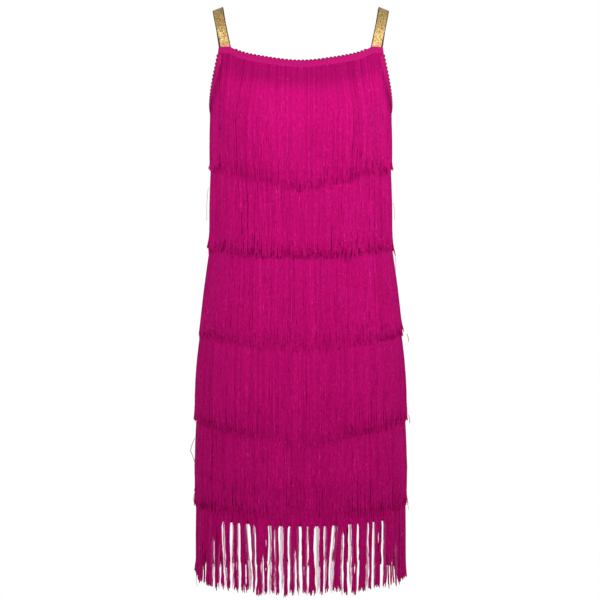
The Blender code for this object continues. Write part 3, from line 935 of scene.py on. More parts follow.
def band_lift(settings, strip, share):
    """Height of a band's inner face above the cloth, at a share of its width."""
    crown = np.interp(share, BAND_SHARES, BAND_CROWN) * settings.crown
    return crown + mix(LAID_ON, strip.tucked, smooth((share - 0.35) / 0.65))


def make_trim(settings, name, strip, node):
    """A band of elastic along the top edge, and the scallops along its outer edge."""
    shares = np.array(BAND_SHARES)
    rows = [strip.row_at(s * strip.width) + strip.out * band_lift(settings, strip, s) for s in shares]
    made = mesh_object(name, np.stack(rows), grid_faces(len(rows), len(strip.out)))
    base = strip.row_at(0.0)
    set_point_map(made.data, "cloth", together(run_along(base), (shares * strip.width)[:, None]))
    with_thickness(made, settings.thickness, outwards=True)
    finish_piece(made, elastic_material(settings), "picot_elastic", node)
    line = base + strip.out * (LAID_ON + settings.thickness * 0.5)
    edge = (line[strip.edged], strip.away[strip.edged])
    pitch = settings.picot_pitch
    sizes = (pitch * PICOT_FILL, settings.picot_thickness, settings.picot_height * 2, 10, 6)
    set_beads(name + "_scallops", [edge], pitch, sizes, picot_material(settings), "picot_elastic")


# A strip of elastic: its width, the height of its inner edge above the cloth, the way out of the cloth and
# away from the edge at each station along it, the stations that have scallops, and a function that gives the
# row of points a distance below the edge.
Strip = namedtuple("Strip", "width tucked out away edged row_at")


def neck_strip(start):
    """Across one panel between the armholes, over both strap seats. Scallops run between the straps."""
    outer, inner = seat_angles(start >= 180)
    angles = np.linspace(start + outer, start + 180 - outer, 241)
    edge = top_edge(angles)
    fine = np.linspace(outer * 0.5, outer, 200)
    heights = top_edge(start + fine)

    def row_at(drop):
        begins = np.interp(SEAT_Z - drop, heights, fine)
        middle = start + 90
        return on_cloth(middle + (angles - middle) * (90 - begins) / (90 - outer), edge - drop)

    edged = np.abs(on_cloth(angles, edge)[:, 0]) < abs(on_cloth(start + inner, SEAT_Z)[0]) - PICOT_GAP
    away = np.broadcast_to(np.array([0.0, 0.0, 1.0]), (len(angles), 3))
    return Strip(NECK_TRIM_WIDTH, LAID_ON, outward(angles, edge), away, edged, row_at)


def armhole_strip(middle):
    """Round one armhole, from under the end of the front's neck elastic to under that of the back's."""
    angles = armhole_angles(middle)
    edge = top_edge(angles)
    base, out = on_cloth(angles, edge), outward(angles, edge)
    away = unit(np.cross(unit(np.gradient(base, axis=0)), out))
    away = unit(np.where(away[:, 2:] > 0, away, -away) + PICOT_SPLAY * out)
    down = unit(np.cross(out, unit(np.gradient(base, axis=0))))
    down = np.where(down[:, 2:] < 0, down, -down)
    everywhere = np.ones(len(angles), bool)
    return Strip(ARM_TRIM_WIDTH, 0.1 * MM, out, away, everywhere, lambda drop: base + down * drop)


def armhole_angles(middle):
    side = 1 if middle == 0 else -1
    low, high = sorted((side * SEAT_OUTER, -side * BACK_SEAT_OUTER))
    fine = middle + np.linspace(low, high, 1201)
    run = run_along(on_cloth(fine, top_edge(fine)))
    wanted = np.linspace(NECK_TRIM_WIDTH, run[-1] - NECK_TRIM_WIDTH, 181)
    return np.interp(wanted, run, fine)


# ---------------------------------------------------------------- straps
STRAP_LINES = 13
STRAP_STEPS = 40


def bezier(a, b, c, d, t):
    s = 1 - t
    return a * s**3 + b * 3 * s * s * t + c * 3 * s * t * t + d * t**3


def off_cloth(angle, z, out):
    """A point on the cloth's outer face, moved square to the face."""
    up = on_cloth(angle, z + MM) - on_cloth(angle, z - MM)
    along = np.cross(outward(angle, z), (0.0, 0.0, 1.0))
    return on_cloth(angle, z) + unit(np.cross(up, along)) * out


def strap_line(share, back):
    """One lengthwise line of the left strap, from inside a panel up to the crown."""
    angle = mix(*seat_angles(back), share) * (-1 if back else 1)
    low, high = (off_cloth(angle, SEAT_Z - drop, -STRAP_SEAM) for drop in (STRAP_TUCK, 0.0))
    slope = math.radians(SHOULDER_SLOPE)
    aside = STRAP_WIDTH * (0.5 - share)
    crown = np.array([STRAP_X_TOP + math.cos(slope) * aside, 0.0, -math.sin(slope) * aside])
    lean = np.array([0.0, CROWN_REACH if back else -CROWN_REACH, 0.0])
    rise = unit(high - low) * SEAT_REACH
    t = np.linspace(0, 1, STRAP_STEPS + 1)[:, None]
    free = bezier(high, high + rise, crown + lean, crown, t)
    free[:, 0] = mix(high[0], crown[0], (free[:, 2] - high[2]) / (crown[2] - high[2]))
    return np.concatenate([mix(low, high, np.array([[0.0], [0.5]])), free])


def make_strap(settings, name, side, node):
    """A flat strap of glitter elastic that lies over the shoulder."""
    shares = np.linspace(0, 1, STRAP_LINES)
    lines = [np.concatenate([strap_line(s, False), strap_line(s, True)[-2::-1]]) for s in shares]
    points = np.stack(lines) * (side, 1, 1)
    run = run_along(points[STRAP_LINES // 2])
    across = shares[:, None]
    if side < 0:
        points, across = points[::-1], across[::-1]
    made = mesh_object(name, points, grid_faces(*points.shape[:2]))
    set_point_map(made.data, "cloth", together(across, run))
    with_thickness(made, settings.thickness, outwards=False)
    return finish_piece(made, gold_material(settings), "gold_elastic", node)


# ---------------------------------------------------------------- sewing
STITCH_SHARE = 0.78  # of an elastic's width, where its zigzag runs
HEM_STITCHES = (8.0 * MM, 11.5 * MM)  # rows of stitches above the slip's hem
SEAT_STITCHES = (0.25, 0.62)  # shares of the neck elastic's width, where each strap is sewn down


@kept("materials", "magenta_sewing_thread")
def sewing_material(name, settings):
    """Plied sewing thread."""
    made, graph, shader = new_material(name)
    x, y, z = graph.parts(graph.place())
    twist = graph.math("SINE", graph.over(graph.plus(x, graph.plus(y, z)), settings.twist / FULL_TURN))
    plies = graph.ramp(twist, -1.0, 1.0)
    # painted shade: deeper in the grooves between the plies
    deep = rgba(settings.color, 0.5)
    graph.fill(shader, "Base Color", graph.mix_color(plies, deep, rgba(settings.color)))
    bump(graph, shader, plies, 0.5, 0.1 * MM)
    set_sockets(shader, Roughness=0.5, Specular_IOR_Level=0.3)
    return made


def set_stitches(settings, name, lines, slot, over=0.0):
    """Stitches along lines, straight ones or a zigzag of that width."""
    length = math.hypot(settings.pitch, over) if over else settings.pitch * 0.9
    sizes = (length, settings.width, settings.width, 6, 4)
    set_beads(name, lines, settings.pitch, sizes, sewing_material(settings), slot, over)


def make_elastic_stitches(settings, elastic):
    """The zigzag that holds each elastic, and the rows that hold each strap's ends."""
    strips = [neck_strip(0), neck_strip(180), armhole_strip(0), armhole_strip(180)]
    zigzags = []
    for strip in strips:
        lift = band_lift(elastic, strip, STITCH_SHARE) + elastic.thickness
        zigzags.append((strip.row_at(STITCH_SHARE * strip.width) + strip.out * lift, strip.out))
    set_stitches(settings, "elastic_zigzag", zigzags, "picot_elastic", settings.zigzag)
    seats = []
    for start, strip in ((0, strips[0]), (180, strips[1])):
        outer, inner = seat_angles(start >= 180)
        for first, last in ((outer, inner), (180 - inner, 180 - outer)):
            angles = start + np.linspace(first, last, 12)
            for share in SEAT_STITCHES:
                lift = band_lift(elastic, strip, share) + elastic.thickness
                z = SEAT_Z - share * strip.width
                seats.append((on_cloth(angles, z, lift), outward(angles, z)))
    set_stitches(settings, "strap_stitches", seats, "picot_elastic")


def make_slip_stitches(settings, slip):
    """The hem's two rows with the zigzag behind them, and the overlocked side seams inside."""
    angles = np.linspace(0, 360, 361)
    rows = []
    for rise in HEM_STITCHES:
        z = hem_edge(angles) + rise
        rows.append((on_cloth(angles, z, -drape(angles, z)), outward(angles, z)))
    z = hem_edge(angles) + sum(HEM_STITCHES) / 2
    behind = (on_cloth(angles, z, -drape(angles, z) - 3.2 * slip.thickness), -outward(angles, z))
    set_stitches(settings, "hem_stitches", rows, "jersey")
    set_stitches(settings, "hem_stitches_inside", [behind], "jersey", HEM_STITCHES[1] - HEM_STITCHES[0])
    z = np.linspace(HEM_SIDE_Z + HEM_FOLD, UNDERARM_Z - 2 * MM, 80)
    seams = []
    for side in (1, -1):
        inner = np.abs(on_cloth(0.0, z)[:, 0]) - drape(0.0, z) - SEAM_ALLOWANCE
        line = np.stack([side * inner, np.zeros_like(z), z], -1)
        seams.append((line, np.broadcast_to(np.array([-side, 0.0, 0.0]), line.shape)))
    over = 2 * slip.thickness + settings.width
    set_stitches(settings, "side_seam_overlock", seams, "jersey", over)


# ---------------------------------------------------------------- fringe
# A guide is a set of patches, each the surface on which one lock of threads hangs. Its map "laid" has, for
# every thread, the share round the row as u, and how far down the thread as v.
PATCH_ROWS = 17
LEAST_LOCK = 0.35  # of the average width, as is WIDEST_LOCK
WIDEST_LOCK = 1.65
TIPS_FROM = 0.85  # share of the length at which a lock's tip begins, and that it takes
TIPS_SHARE = 0.15
LEAST_LOCK_WIDTH = 0.3 * MM  # by which a row's threads are shared out among its locks
HEM_PATCH_ROWS = 33
HEM_START = 0.26  # share of the length at which the lowest row's threads begin, behind the row above
LOOSE_PIECE = "loose_threads"
LOOSE_START = 0.33
LOOSE_PROUD = 2.0  # how far the loose threads stand out, in depths of a lock
LOOSE_DEPTH = 2.4 * MM
LOOSE_UNEVEN = 0.08
UNDER_WIDTH = 12 * MM
NECK_UNDER_WIDTH = 10 * MM
UNDER_LENGTH = 2.0 * MM  # how far the threads underneath hang past the height set for the row's tips
UNDER_TONE = 0.4
TIP_CROWDING = 1.8  # how much closer a thread's points lie towards its tip
STRAND_SPREAD = 0.06  # how fast the sway changes from one thread to the next
CURL_SPREAD = 0.12
CURL_WAVES = 3.5  # bends of the tips for each sway
FULL_STAND_OFF = 0.7  # share of the length at which a row stands off in full
NECK_FULL_STAND_OFF = 0.55
FRONT_SWING = 0.25  # share of a row's stand-off that is left in the middle of the front and the back
RIDGE_REACH = 11 * MM  # of the ridge where a row passes over the next row's tape
TIP_FLARE = 4.0 * MM  # how far the highest locks turn out at their tips
TAPE_LIFT = 0.2 * MM
TAPE_THICKNESS = 0.5 * MM
TAPE_TONE = 0.35
LOCK_TONE = 0.12  # share of a thread's tone that it has in common with its lock


def tip_flare(angle, t, depth):
    """How far a lock's tip turns out, which shows at the sides of the dress."""
    turned_out = np.minimum(depth, 1.0) * smooth((t - TIPS_FROM) / TIPS_SHARE)
    return TIP_FLARE * turned_out**2 * (1 - dip(angle, 0.5))


Locks = namedtuple("Locks", "left right depth length tone")
Row = namedtuple("Row", "angle_at root_at tip_at out_at")

# Gaps between the locks of the lowest row, from the wearer's right to left across the front: place at the
# slip's hem and at the tips and widest width, in millimetres, and the share of the length at which it opens.
Gap = namedtuple("Gap", "x_hem x_tip width opens")
AT_HEM = 0.0
HEM_GAPS = (
    Gap(-150.5, -150.5, 1.6, 0.70),
    Gap(-137.0, -137.5, 3.2, 0.58),
    Gap(-126.5, -126.0, 2.8, 0.64),
    Gap(-121.9, -117.3, 4.6, AT_HEM),
    Gap(-107.5, -108.0, 5.8, AT_HEM),
    Gap(-97.5, -96.5, 3.5, AT_HEM),
    Gap(-83.7, -77.8, 8.1, AT_HEM),
    Gap(-73.1, -71.5, 2.8, 0.40),
    Gap(-59.1, -59.5, 2.2, 0.66),
    Gap(-48.8, -48.8, 7.0, AT_HEM),
    Gap(-40.9, -40.0, 2.8, 0.42),
    Gap(-31.4, -31.0, 8.8, AT_HEM),
    Gap(-18.1, -18.5, 3.2, 0.38),
    Gap(-9.2, -9.0, 3.2, 0.60),
    Gap(-2.2, -0.5, 6.5, AT_HEM),
    Gap(10.6, 10.0, 2.4, AT_HEM),
    Gap(25.7, 26.0, 8.1, AT_HEM),
    Gap(38.4, 37.5, 3.2, AT_HEM),
    Gap(53.6, 46.8, 7.0, AT_HEM),
    Gap(65.8, 65.5, 3.2, 0.46),
    Gap(76.4, 77.0, 6.5, AT_HEM),
    Gap(89.1, 89.0, 2.8, AT_HEM),
    Gap(104.3, 104.0, 3.2, AT_HEM),
    Gap(114.1, 113.5, 4.6, AT_HEM),
    Gap(128.7, 127.5, 7.0, AT_HEM),
    Gap(148.0, 148.5, 6.0, 0.66),
)
SIDE_LEAD = 0.010  # share of the length by which a gap opens above the slip's hem, at the side seams
MIDDLE_LEAD = 0.012
BACK_SPREAD = 1.07  # the back's gaps lie this much further out, in line with the front's
BACK_WIDTH = 1.05  # of the front's gaps
HEM_SIDE_LOCK = 6.5 * MM
GAP_SPARE = 3.2 * MM  # taken up by the thickness and the sway of the threads on both sides of a gap
GAP_NARROWING = 0.40  # share of its width that a gap loses at the tips
SLIT_ROOM = 7 * MM  # a lock wider than this may have a slit of its own
GAP_OPENING = 0.022  # share of the length over which a gap opens
LEAST_HALF_LOCK = 0.9 * MM
HEM_LOCK_RAGGED = 3.0 * MM
SIDE_GAP_SHIFT = 0.25  # of a lock, by which a gap at the side may lie off its place
SIDE_GAP_LEAN = 0.8 * MM
SIDE_GAP_WIDTH = 1.8  # in millimetres, at most, without what GAP_SPARE adds
SLIT_CHANCE = 0.75
HEM_SEED = 61
LEAST_GAP_WITH_THREADS = 2.0 * MM
# painted light: the loose threads' tone lies towards their pale colour
LOOSE_TONE = 0.8
NEVER_CLOSES = 2.0
HALF_ROUNDS = ((0.2, 179.8), (359.8, 180.2))  # across the front and the back, from side seam to side seam


def free_locks(rng, length, settings, count_of_rows):
    """Locks of uneven width all along a row, drawn together in clusters towards their tips."""
    number = int(length / settings.lock_width)
    widths = rng.uniform(settings.lock_width * LEAST_LOCK, settings.lock_width * WIDEST_LOCK, number)
    edges = np.concatenate([[0.0], np.cumsum(widths)]) * (length / widths.sum())
    middle = (edges[1:] + edges[:-1]) / 2
    t = np.linspace(0, 1, count_of_rows)[:, None]

    spans = rng.uniform(0.6, 1.4, int(length / settings.cluster_width))
    ends = np.concatenate([[0.0], np.cumsum(spans)]) * (length / spans.sum())
    cluster = np.clip(np.searchsorted(ends, middle) - 1, 0, len(spans) - 1)
    centre = (ends[cluster] + ends[cluster + 1]) / 2
    pull = settings.cluster_pull * rng.uniform(0.2, 1.5, len(spans))[cluster]
    lean = rng.normal(0, 0.4 * MM, len(middle))
    sway = pull * smooth((t - 0.45) / 0.55) * (centre - middle) + lean * t**1.5

    narrow = rng.uniform(-0.6, -0.1, len(middle)) * smooth(t / 0.9)
    half = (edges[1:] - edges[:-1]) / 2 * (1 - narrow)
    off_centre = np.abs(middle - centre) / (ends[cluster + 1] - ends[cluster])
    uneven = rng.normal(0, settings.ragged * 0.35, len(middle)) - settings.ragged * 2.2 * off_centre
    uneven += rng.normal(0, settings.ragged * 0.6, len(spans))[cluster] + settings.ragged * 0.4
    return Locks(
        middle + sway - half,
        middle + sway + half,
        rng.uniform(0.0, 1.0, len(middle)),
        uneven,
        np.clip(rng.normal(0.5, 0.22, len(middle)), 0, 1),
    )


def hem_boundaries(run_at_x, length):
    """(place at the hem, place at the tips, width, opening and closing shares) of every gap round the row."""
    rng = np.random.default_rng(HEM_SEED)
    rows = []
    for back in (False, True):
        for gap in HEM_GAPS:
            places = [run_at_x(x * MM * (BACK_SPREAD if back else 1.0), back) for x in (gap.x_hem, gap.x_tip)]
            rows.append((*places, gap.width * MM * (BACK_WIDTH if back else 1.0), gap.opens))
    rows.sort()
    filled = []
    round_again = (rows[0][0] + length, 0, 0, 0)
    for row, after in zip(rows, rows[1:] + [round_again]):
        filled.append(row)
        spare = after[0] - row[0]
        if spare < 4 * HEM_SIDE_LOCK:
            continue
        for k in range(1, round(spare / HEM_SIDE_LOCK)):
            at = row[0] + HEM_SIDE_LOCK * (k + rng.uniform(-SIDE_GAP_SHIFT, SIDE_GAP_SHIFT))
            at_tip = at + rng.normal(0, SIDE_GAP_LEAN)
            filled.append((at, at_tip, rng.uniform(0.0, SIDE_GAP_WIDTH) * MM, rng.uniform(0.5, 0.8)))
    whole = np.array([(*row, NEVER_CLOSES) for row in filled])
    split = []
    for row, after in zip(whole, whole[1:]):
        if after[0] - row[0] > SLIT_ROOM and rng.uniform() < SLIT_CHANCE:
            opens = rng.uniform(0.45, 0.7)
            share = rng.uniform(0.4, 0.6)
            place = mix(row[:2], after[:2], share)
            split.append((*place, rng.uniform(-0.6, 0.8) * MM, opens, opens + rng.uniform(0.12, 0.35)))
    whole = np.concatenate([whole, np.array(split)])
    return whole[np.argsort(whole[:, 0])].T


def hem_locks(run_at_x, row, length, count_of_rows, rng):
    """The lowest row's locks, which part below the slip's hem, and its gaps as patches of their own."""
    at_hem, at_tip, width, opens, closes = hem_boundaries(run_at_x, length)
    angle = row.angle_at(at_hem)
    hem_share = (row.root_at(angle) - hem_edge(angle)) / (row.root_at(angle) - row.tip_at(angle))
    opens = np.maximum(opens, hem_share - mix(SIDE_LEAD, MIDDLE_LEAD, dip(angle, 2.0)))
    t = np.linspace(0, 1, count_of_rows)[:, None]
    centre = mix(at_hem, at_tip, smooth((t - 0.35) / 0.65))
    number = len(width)
    sway = np.sin(FULL_TURN * (t * rng.uniform(1.0, 2.6, number) + rng.uniform(0, 1, number)))
    centre = centre + sway * rng.uniform(0.2, 0.9, number) * MM * smooth((t - 0.4) / 0.3)
    open_by = smooth((t - opens) / GAP_OPENING) * (1 - GAP_NARROWING * smooth((t - TIPS_FROM) / TIPS_SHARE))
    open_by = open_by * (1 - smooth((t - closes) / GAP_OPENING))
    half_gap = (width + GAP_SPARE) / 2 * open_by
    left, right = centre + half_gap, np.roll(centre, -1, axis=1) - np.roll(half_gap, -1, axis=1)
    right[:, -1] += length
    middle, half = (left + right) / 2, np.maximum((right - left) / 2, LEAST_HALF_LOCK)
    half = half * (1 - rng.uniform(-0.1, 0.2, half.shape[1]) * smooth((t - TIPS_FROM) / TIPS_SHARE))
    count = half.shape[1]
    locks = Locks(
        middle - half,
        middle + half,
        rng.uniform(0.0, 1.0, count),
        rng.normal(-0.5 * MM, HEM_LOCK_RAGGED, count),
        np.clip(rng.normal(0.5, 0.2, count), 0, 1),
    )
    wide = (width > LEAST_GAP_WITH_THREADS) & (at_hem < length / 2)
    share = rng.uniform(0.3, 0.7, number)
    middle = centre + half_gap * np.where(rng.uniform(0, 1, number) < 0.5, -1, 1) * (1 - share)
    gaps = Locks(
        (middle - half_gap * share)[:, wide],
        (middle + half_gap * share)[:, wide],
        np.full(wide.sum(), LOOSE_PROUD),
        rng.normal(-HEM_LOCK_RAGGED, HEM_LOCK_RAGGED, wide.sum()),
        np.full(wide.sum(), LOOSE_TONE),
    )
    return locks, gaps


def lay_patches(locks, row, columns, first_u, last_u):
    """(points, faces, map, tone) of the guide patches of a set of locks on a row of fringe."""
    rows, count = locks.left.shape
    t = np.linspace(0, 1, rows)
    across = mix(locks.left[..., None], locks.right[..., None], np.linspace(0, 1, columns))
    angle = row.angle_at(across[0])
    root, tip = row.root_at(angle), row.tip_at(angle) - locks.length[:, None]
    z = mix(root, tip, t[:, None, None])

    def out_at(angle, height, i):
        return row.out_at(angle, height, t[i], locks.depth[:, None])

    points = hang(angle, z, across - across[0], out_at)
    widths = np.maximum((locks.right - locks.left)[0], LEAST_LOCK_WIDTH)
    ends = first_u + (last_u - first_u) * np.concatenate([[0.0], np.cumsum(widths)]) / widths.sum()
    u = mix(ends[:-1, None], ends[1:, None], np.linspace(0.0005, 0.9995, columns))
    laid = together(u, t[:, None, None])
    tone = np.broadcast_to(locks.tone[:, None], points.shape[:3])
    quads = grid_faces(rows, columns)
    numbering = np.arange(rows * count * columns).reshape(rows, count, columns)
    faces = np.concatenate([numbering[:, i, :].ravel()[quads] for i in range(count)])
    return points.reshape(-1, 3), faces, laid.reshape(-1, 2), tone.ravel()


def guide_object(name, patches):
    """One mesh of all the patches, with the map and tone that the threads are laid by."""
    points, faces, laid, tone = zip(*patches)
    firsts = np.cumsum([0] + [len(patch) for patch in points])
    numbered = [patch + first for patch, first in zip(faces, firsts)]
    made = mesh_object(name, np.concatenate(points), np.concatenate(numbered))
    set_point_map(made.data, "laid", np.concatenate(laid))
    set_point_values(made.data, "lock_tone", np.concatenate(tone))
    return made


@kept("node_groups", "Fringe threads")
def thread_tree(name):
    """Threads that hang down a guide's patches, each with its own length, wander and thickness."""
    inputs = [
        ("Geometry", "Geometry"),
        ("Threads", "Int", 1000),
        ("Points", "Int", 9),
        ("Sides", "Int", 3),
        ("Radius", "Float", 0.75 * MM),
        ("Uneven", "Float", 0.05),
        ("Wander", "Float", 1.0 * MM),
        ("Drift", "Float", 2.0 * MM),
        ("Waves", "Float", 3.0),
        ("Crinkle", "Float", 4.0 * MM),
        ("Depth", "Float", 1.0 * MM),
        ("Crowding", "Float", 1.8),
        ("Start", "Float", 0.0),
        ("Seed", "Int", 1),
        ("Material", "Material"),
    ]
    graph, given, out = new_tree(name, "GeometryNodeTree", inputs, [("Geometry", "Geometry")])
    line = graph.add("GeometryNodeCurvePrimitiveLine", {"End": (0.0, 0.0, 1.0)})
    divided = graph.add("GeometryNodeResampleCurve", {"Curve": line, "Count": given["Points"]})
    amount = {"Geometry": divided, "Amount": given["Threads"]}
    copies = graph.add("GeometryNodeDuplicateElements", amount, domain="SPLINE")
    index = copies.outputs["Duplicate Index"]
    even = graph.add("GeometryNodeSplineParameter").outputs["Factor"]
    down = graph.minus(1.0, graph.math("POWER", graph.minus(1.0, even), given["Crowding"]))

    def chance(number, low=0.0, high=1.0):
        seed = graph.plus(given["Seed"], float(number) * 101)
        limits = {"Min": low, "Max": high, "ID": index, "Seed": seed}
        return graph.result("FunctionNodeRandomValue", limits, data_type="FLOAT")

    share = graph.over(graph.plus(index, chance(1)), given["Threads"])
    reach = graph.minus(1.0, graph.times(given["Uneven"], graph.math("POWER", chance(2), 1.3)))
    start = graph.times(given["Start"], chance(9, 0.9, 1.25))
    v = graph.plus(start, graph.times(down, graph.minus(reach, start)))
    spot = graph.combine(share, v)
    laid = graph.attribute("laid", "FLOAT_VECTOR")

    def sampled(value, kind):
        wanted = {"Mesh": given["Geometry"], "Value": value, "UV Map": laid, "Sample UV": spot}
        return graph.add("GeometryNodeSampleUVSurface", wanted, data_type=kind)

    place = sampled(graph.add("GeometryNodeInputPosition"), "FLOAT_VECTOR")
    facing = sampled(graph.add("GeometryNodeInputNormal"), "FLOAT_VECTOR").outputs[0]
    lock_tone = sampled(graph.attribute("lock_tone", "FLOAT"), "FLOAT").outputs[0]
    sideways = graph.vector("NORMALIZE", graph.vector("CROSS_PRODUCT", facing, (0.0, 0.0, 1.0)))

    def waves_of(spread, often):
        """Three numbers that vary slowly down a thread, much alike in threads that hang side by side."""
        along = graph.times(v, graph.times(given["Waves"], often))
        vary = graph.noise(graph.combine(graph.times(index, spread), along, given["Seed"]))
        return graph.parts(vary.outputs["Color"])

    def swung(wave, size):
        return graph.times(graph.minus(wave, 0.5), size)

    waves = waves_of(STRAND_SPREAD, 1.0)
    bends = waves_of(CURL_SPREAD, CURL_WAVES)
    loose = graph.ramp(v, 0.0, 0.9)
    curled = graph.times(swung(bends[0], given["Crinkle"]), graph.ramp(v, 0.15, 0.85))
    drift = graph.times(graph.math("POWER", chance(3, -1.0, 1.0), 3.0), given["Drift"])
    drift = graph.times(drift, graph.math("POWER", v, 2.0))
    aside = graph.plus(graph.times(swung(waves[0], given["Wander"]), loose), curled, drift)
    billow = graph.times(swung(waves[1], given["Wander"]), loose, 0.3)
    proud = graph.plus(graph.times(chance(4), given["Depth"]), billow)
    moved = graph.vector("ADD", graph.scaled(sideways, aside), graph.scaled(facing, proud))
    position = graph.vector("ADD", place.outputs[0], moved)
    placed = graph.add("GeometryNodeSetPosition", {"Geometry": copies, "Position": position})
    missed = graph.add("FunctionNodeBooleanMath", {0: place.outputs["Is Valid"]}, operation="NOT")
    whole = graph.add("GeometryNodeDeleteGeometry", {"Geometry": placed, "Selection": missed}, domain="CURVE")
    threads = graph.add("GeometryNodeSetCurveTilt", {"Curve": whole, "Tilt": chance(5, 0.0, FULL_TURN)})

    tone = graph.plus(graph.times(lock_tone, LOCK_TONE), graph.times(chance(6), 1 - LOCK_TONE))
    for label, value in (("tone", tone), ("down", v), ("thread_number", index)):
        threads = graph.store(threads, label, value)
    taper = graph.ramp(down, 0.97, 1.0, 1.0, 0.6)
    thick = graph.times(given["Radius"], chance(7, 0.82, 1.15), taper)
    ring = graph.add("GeometryNodeCurvePrimitiveCircle", {"Resolution": given["Sides"], "Radius": 1.0})
    ring = graph.store(ring, "around", graph.over(graph.add("GeometryNodeInputIndex"), given["Sides"]))
    tube = {"Curve": threads, "Profile Curve": ring, "Scale": thick, "Fill Caps": True}
    graph.fill(out, "Geometry", graph.coat(graph.add("GeometryNodeCurveToMesh", tube), given["Material"]))
    return graph.tree


def point_values(mesh, name):
    values = np.zeros(len(mesh.vertices), np.float32)
    mesh.attributes[name].data.foreach_get("value", values)
    return values


def map_threads(mesh, length):
    """The maps of a mesh of threads: "thread" for its material, and OFBake, where each has its own block."""
    corner = corner_points(mesh)
    starts = np.zeros(len(mesh.polygons), np.int32)
    sizes = np.zeros(len(mesh.polygons), np.int32)
    mesh.polygons.foreach_get("loop_start", starts)
    mesh.polygons.foreach_get("loop_total", sizes)
    around = point_values(mesh, "around")[corner]
    wraps = np.maximum.reduceat(around, starts) - np.minimum.reduceat(around, starts) > 0.5
    around = np.where(np.repeat(wraps, sizes) & (around < 0.5), around + 1.0, around)
    down = point_values(mesh, "down")[corner]
    number = np.round(point_values(mesh, "thread_number")[corner]).astype(int)
    columns = int(math.ceil(math.sqrt((number.max() + 1) * 6)))
    rows = int(math.ceil((number.max() + 1) / columns))
    block_u = (number % columns + 0.1 + 0.8 * around) / columns
    block_v = (number // columns + 0.02 + 0.96 * down) / rows
    set_corner_map(mesh, "OFBake", np.stack([block_u, block_v], -1))
    set_corner_map(mesh, "thread", np.stack([around, down * length], -1))
    for name in ("around", "down", "thread_number", "lock_tone", "laid"):
        if name in mesh.attributes:
            mesh.attributes.remove(mesh.attributes[name])


def make_threads(name, patches, settings, count, seed, material, length, **changes):
    guide = guide_object(name, patches)
    inputs = {
        "Threads": count,
        "Points": settings.points,
        "Sides": settings.sides,
        "Radius": settings.thread_width / 2,
        "Uneven": settings.uneven,
        "Wander": settings.wander,
        "Drift": settings.drift,
        "Waves": settings.waves,
        "Crinkle": settings.crinkle,
        "Depth": settings.depth,
        "Crowding": TIP_CROWDING,
        "Seed": seed,
        "Material": material,
    }
    inputs.update(changes)
    run_tree(guide, thread_tree(), inputs)
    map_threads(guide.data, length)
    return guide


def make_tape(name, angles, top, height, material, closed):
    """The flat tape that a row's threads hang from."""
    shares = np.array([[0.0], [0.5], [1.0]])
    points = on_cloth(angles, top - height * shares, TAPE_LIFT)
    made = mesh_object(name, points, grid_faces(3, len(angles), closed=closed))
    set_point_map(made.data, "thread", together(np.linspace(0, 1, len(angles)), shares * height))
    set_point_values(made.data, "tone", np.full(points.shape[:2], TAPE_TONE))
    with_thickness(made, TAPE_THICKNESS, outwards=True)
    return finish_piece(made, material, "chainette")


def plain_locks(length, width, rows):
    """Locks all alike side by side, for the threads that lie underneath."""
    count = int(length / width)
    edges = np.linspace(0, length, count + 1)
    one = np.ones((rows, 1))
    lengths, tones = np.full(count, UNDER_LENGTH), np.full(count, UNDER_TONE)
    return Locks(one * edges[:-1], one * edges[1:], np.zeros(count), lengths, tones)


def make_full_row(name, settings, row, length, under_width, count, seed, thread_length):
    """The threads of a whole row: uneven locks over plain ones."""
    top = free_locks(np.random.default_rng(seed), length, settings, PATCH_ROWS)
    under = plain_locks(length, under_width, PATCH_ROWS)
    split = settings.under_share
    patches = [lay_patches(under, row, 3, 0.0, split), lay_patches(top, row, 2, split, 1.0)]
    return make_threads(name, patches, settings, count, seed, fringe_material(settings), thread_length)


def make_hem_row(name, settings, row, length, angles, run, seed, thread_length):
    """The threads of the lowest row, whose locks part, and the loose ones in its gaps."""
    tables = []
    for ends in HALF_ROUNDS:
        fine = np.linspace(*ends, 800)
        tables.append((on_cloth(fine, HEM_SIDE_Z)[::-1, 0], fine[::-1]))

    def run_at_x(x, back):
        return float(np.interp(np.interp(x, *tables[back]), angles, run))

    locks, gaps = hem_locks(run_at_x, row, length, HEM_PATCH_ROWS, np.random.default_rng(seed))
    changes = {
        "Points": settings.hem_points,
        "Drift": settings.drift * 0.4,
        "Uneven": settings.uneven * 0.7,
        "Wander": settings.wander * 0.8,
        "Depth": settings.hem_depth,
        "Crowding": 1.0,
        "Start": HEM_START,
    }
    patches = [lay_patches(locks, row, 3, 0.0, 1.0)]
    material = fringe_material(settings)
    count = settings.hem_threads
    made = make_threads(name, patches, settings, count, seed, material, thread_length, **changes)
    changes = {
        "Radius": settings.loose_width / 2,
        "Drift": 0.0,
        "Uneven": LOOSE_UNEVEN,
        "Depth": LOOSE_DEPTH,
        "Crowding": 1.0,
        "Start": LOOSE_START,
    }
    patches = [lay_patches(gaps, row, 2, 0.0, 1.0)]
    material, count = loose_material(settings), settings.loose_threads
    loose = make_threads(LOOSE_PIECE, patches, settings, count, seed + 1, material, thread_length, **changes)
    finish_piece(loose, material, "chainette")
    return made


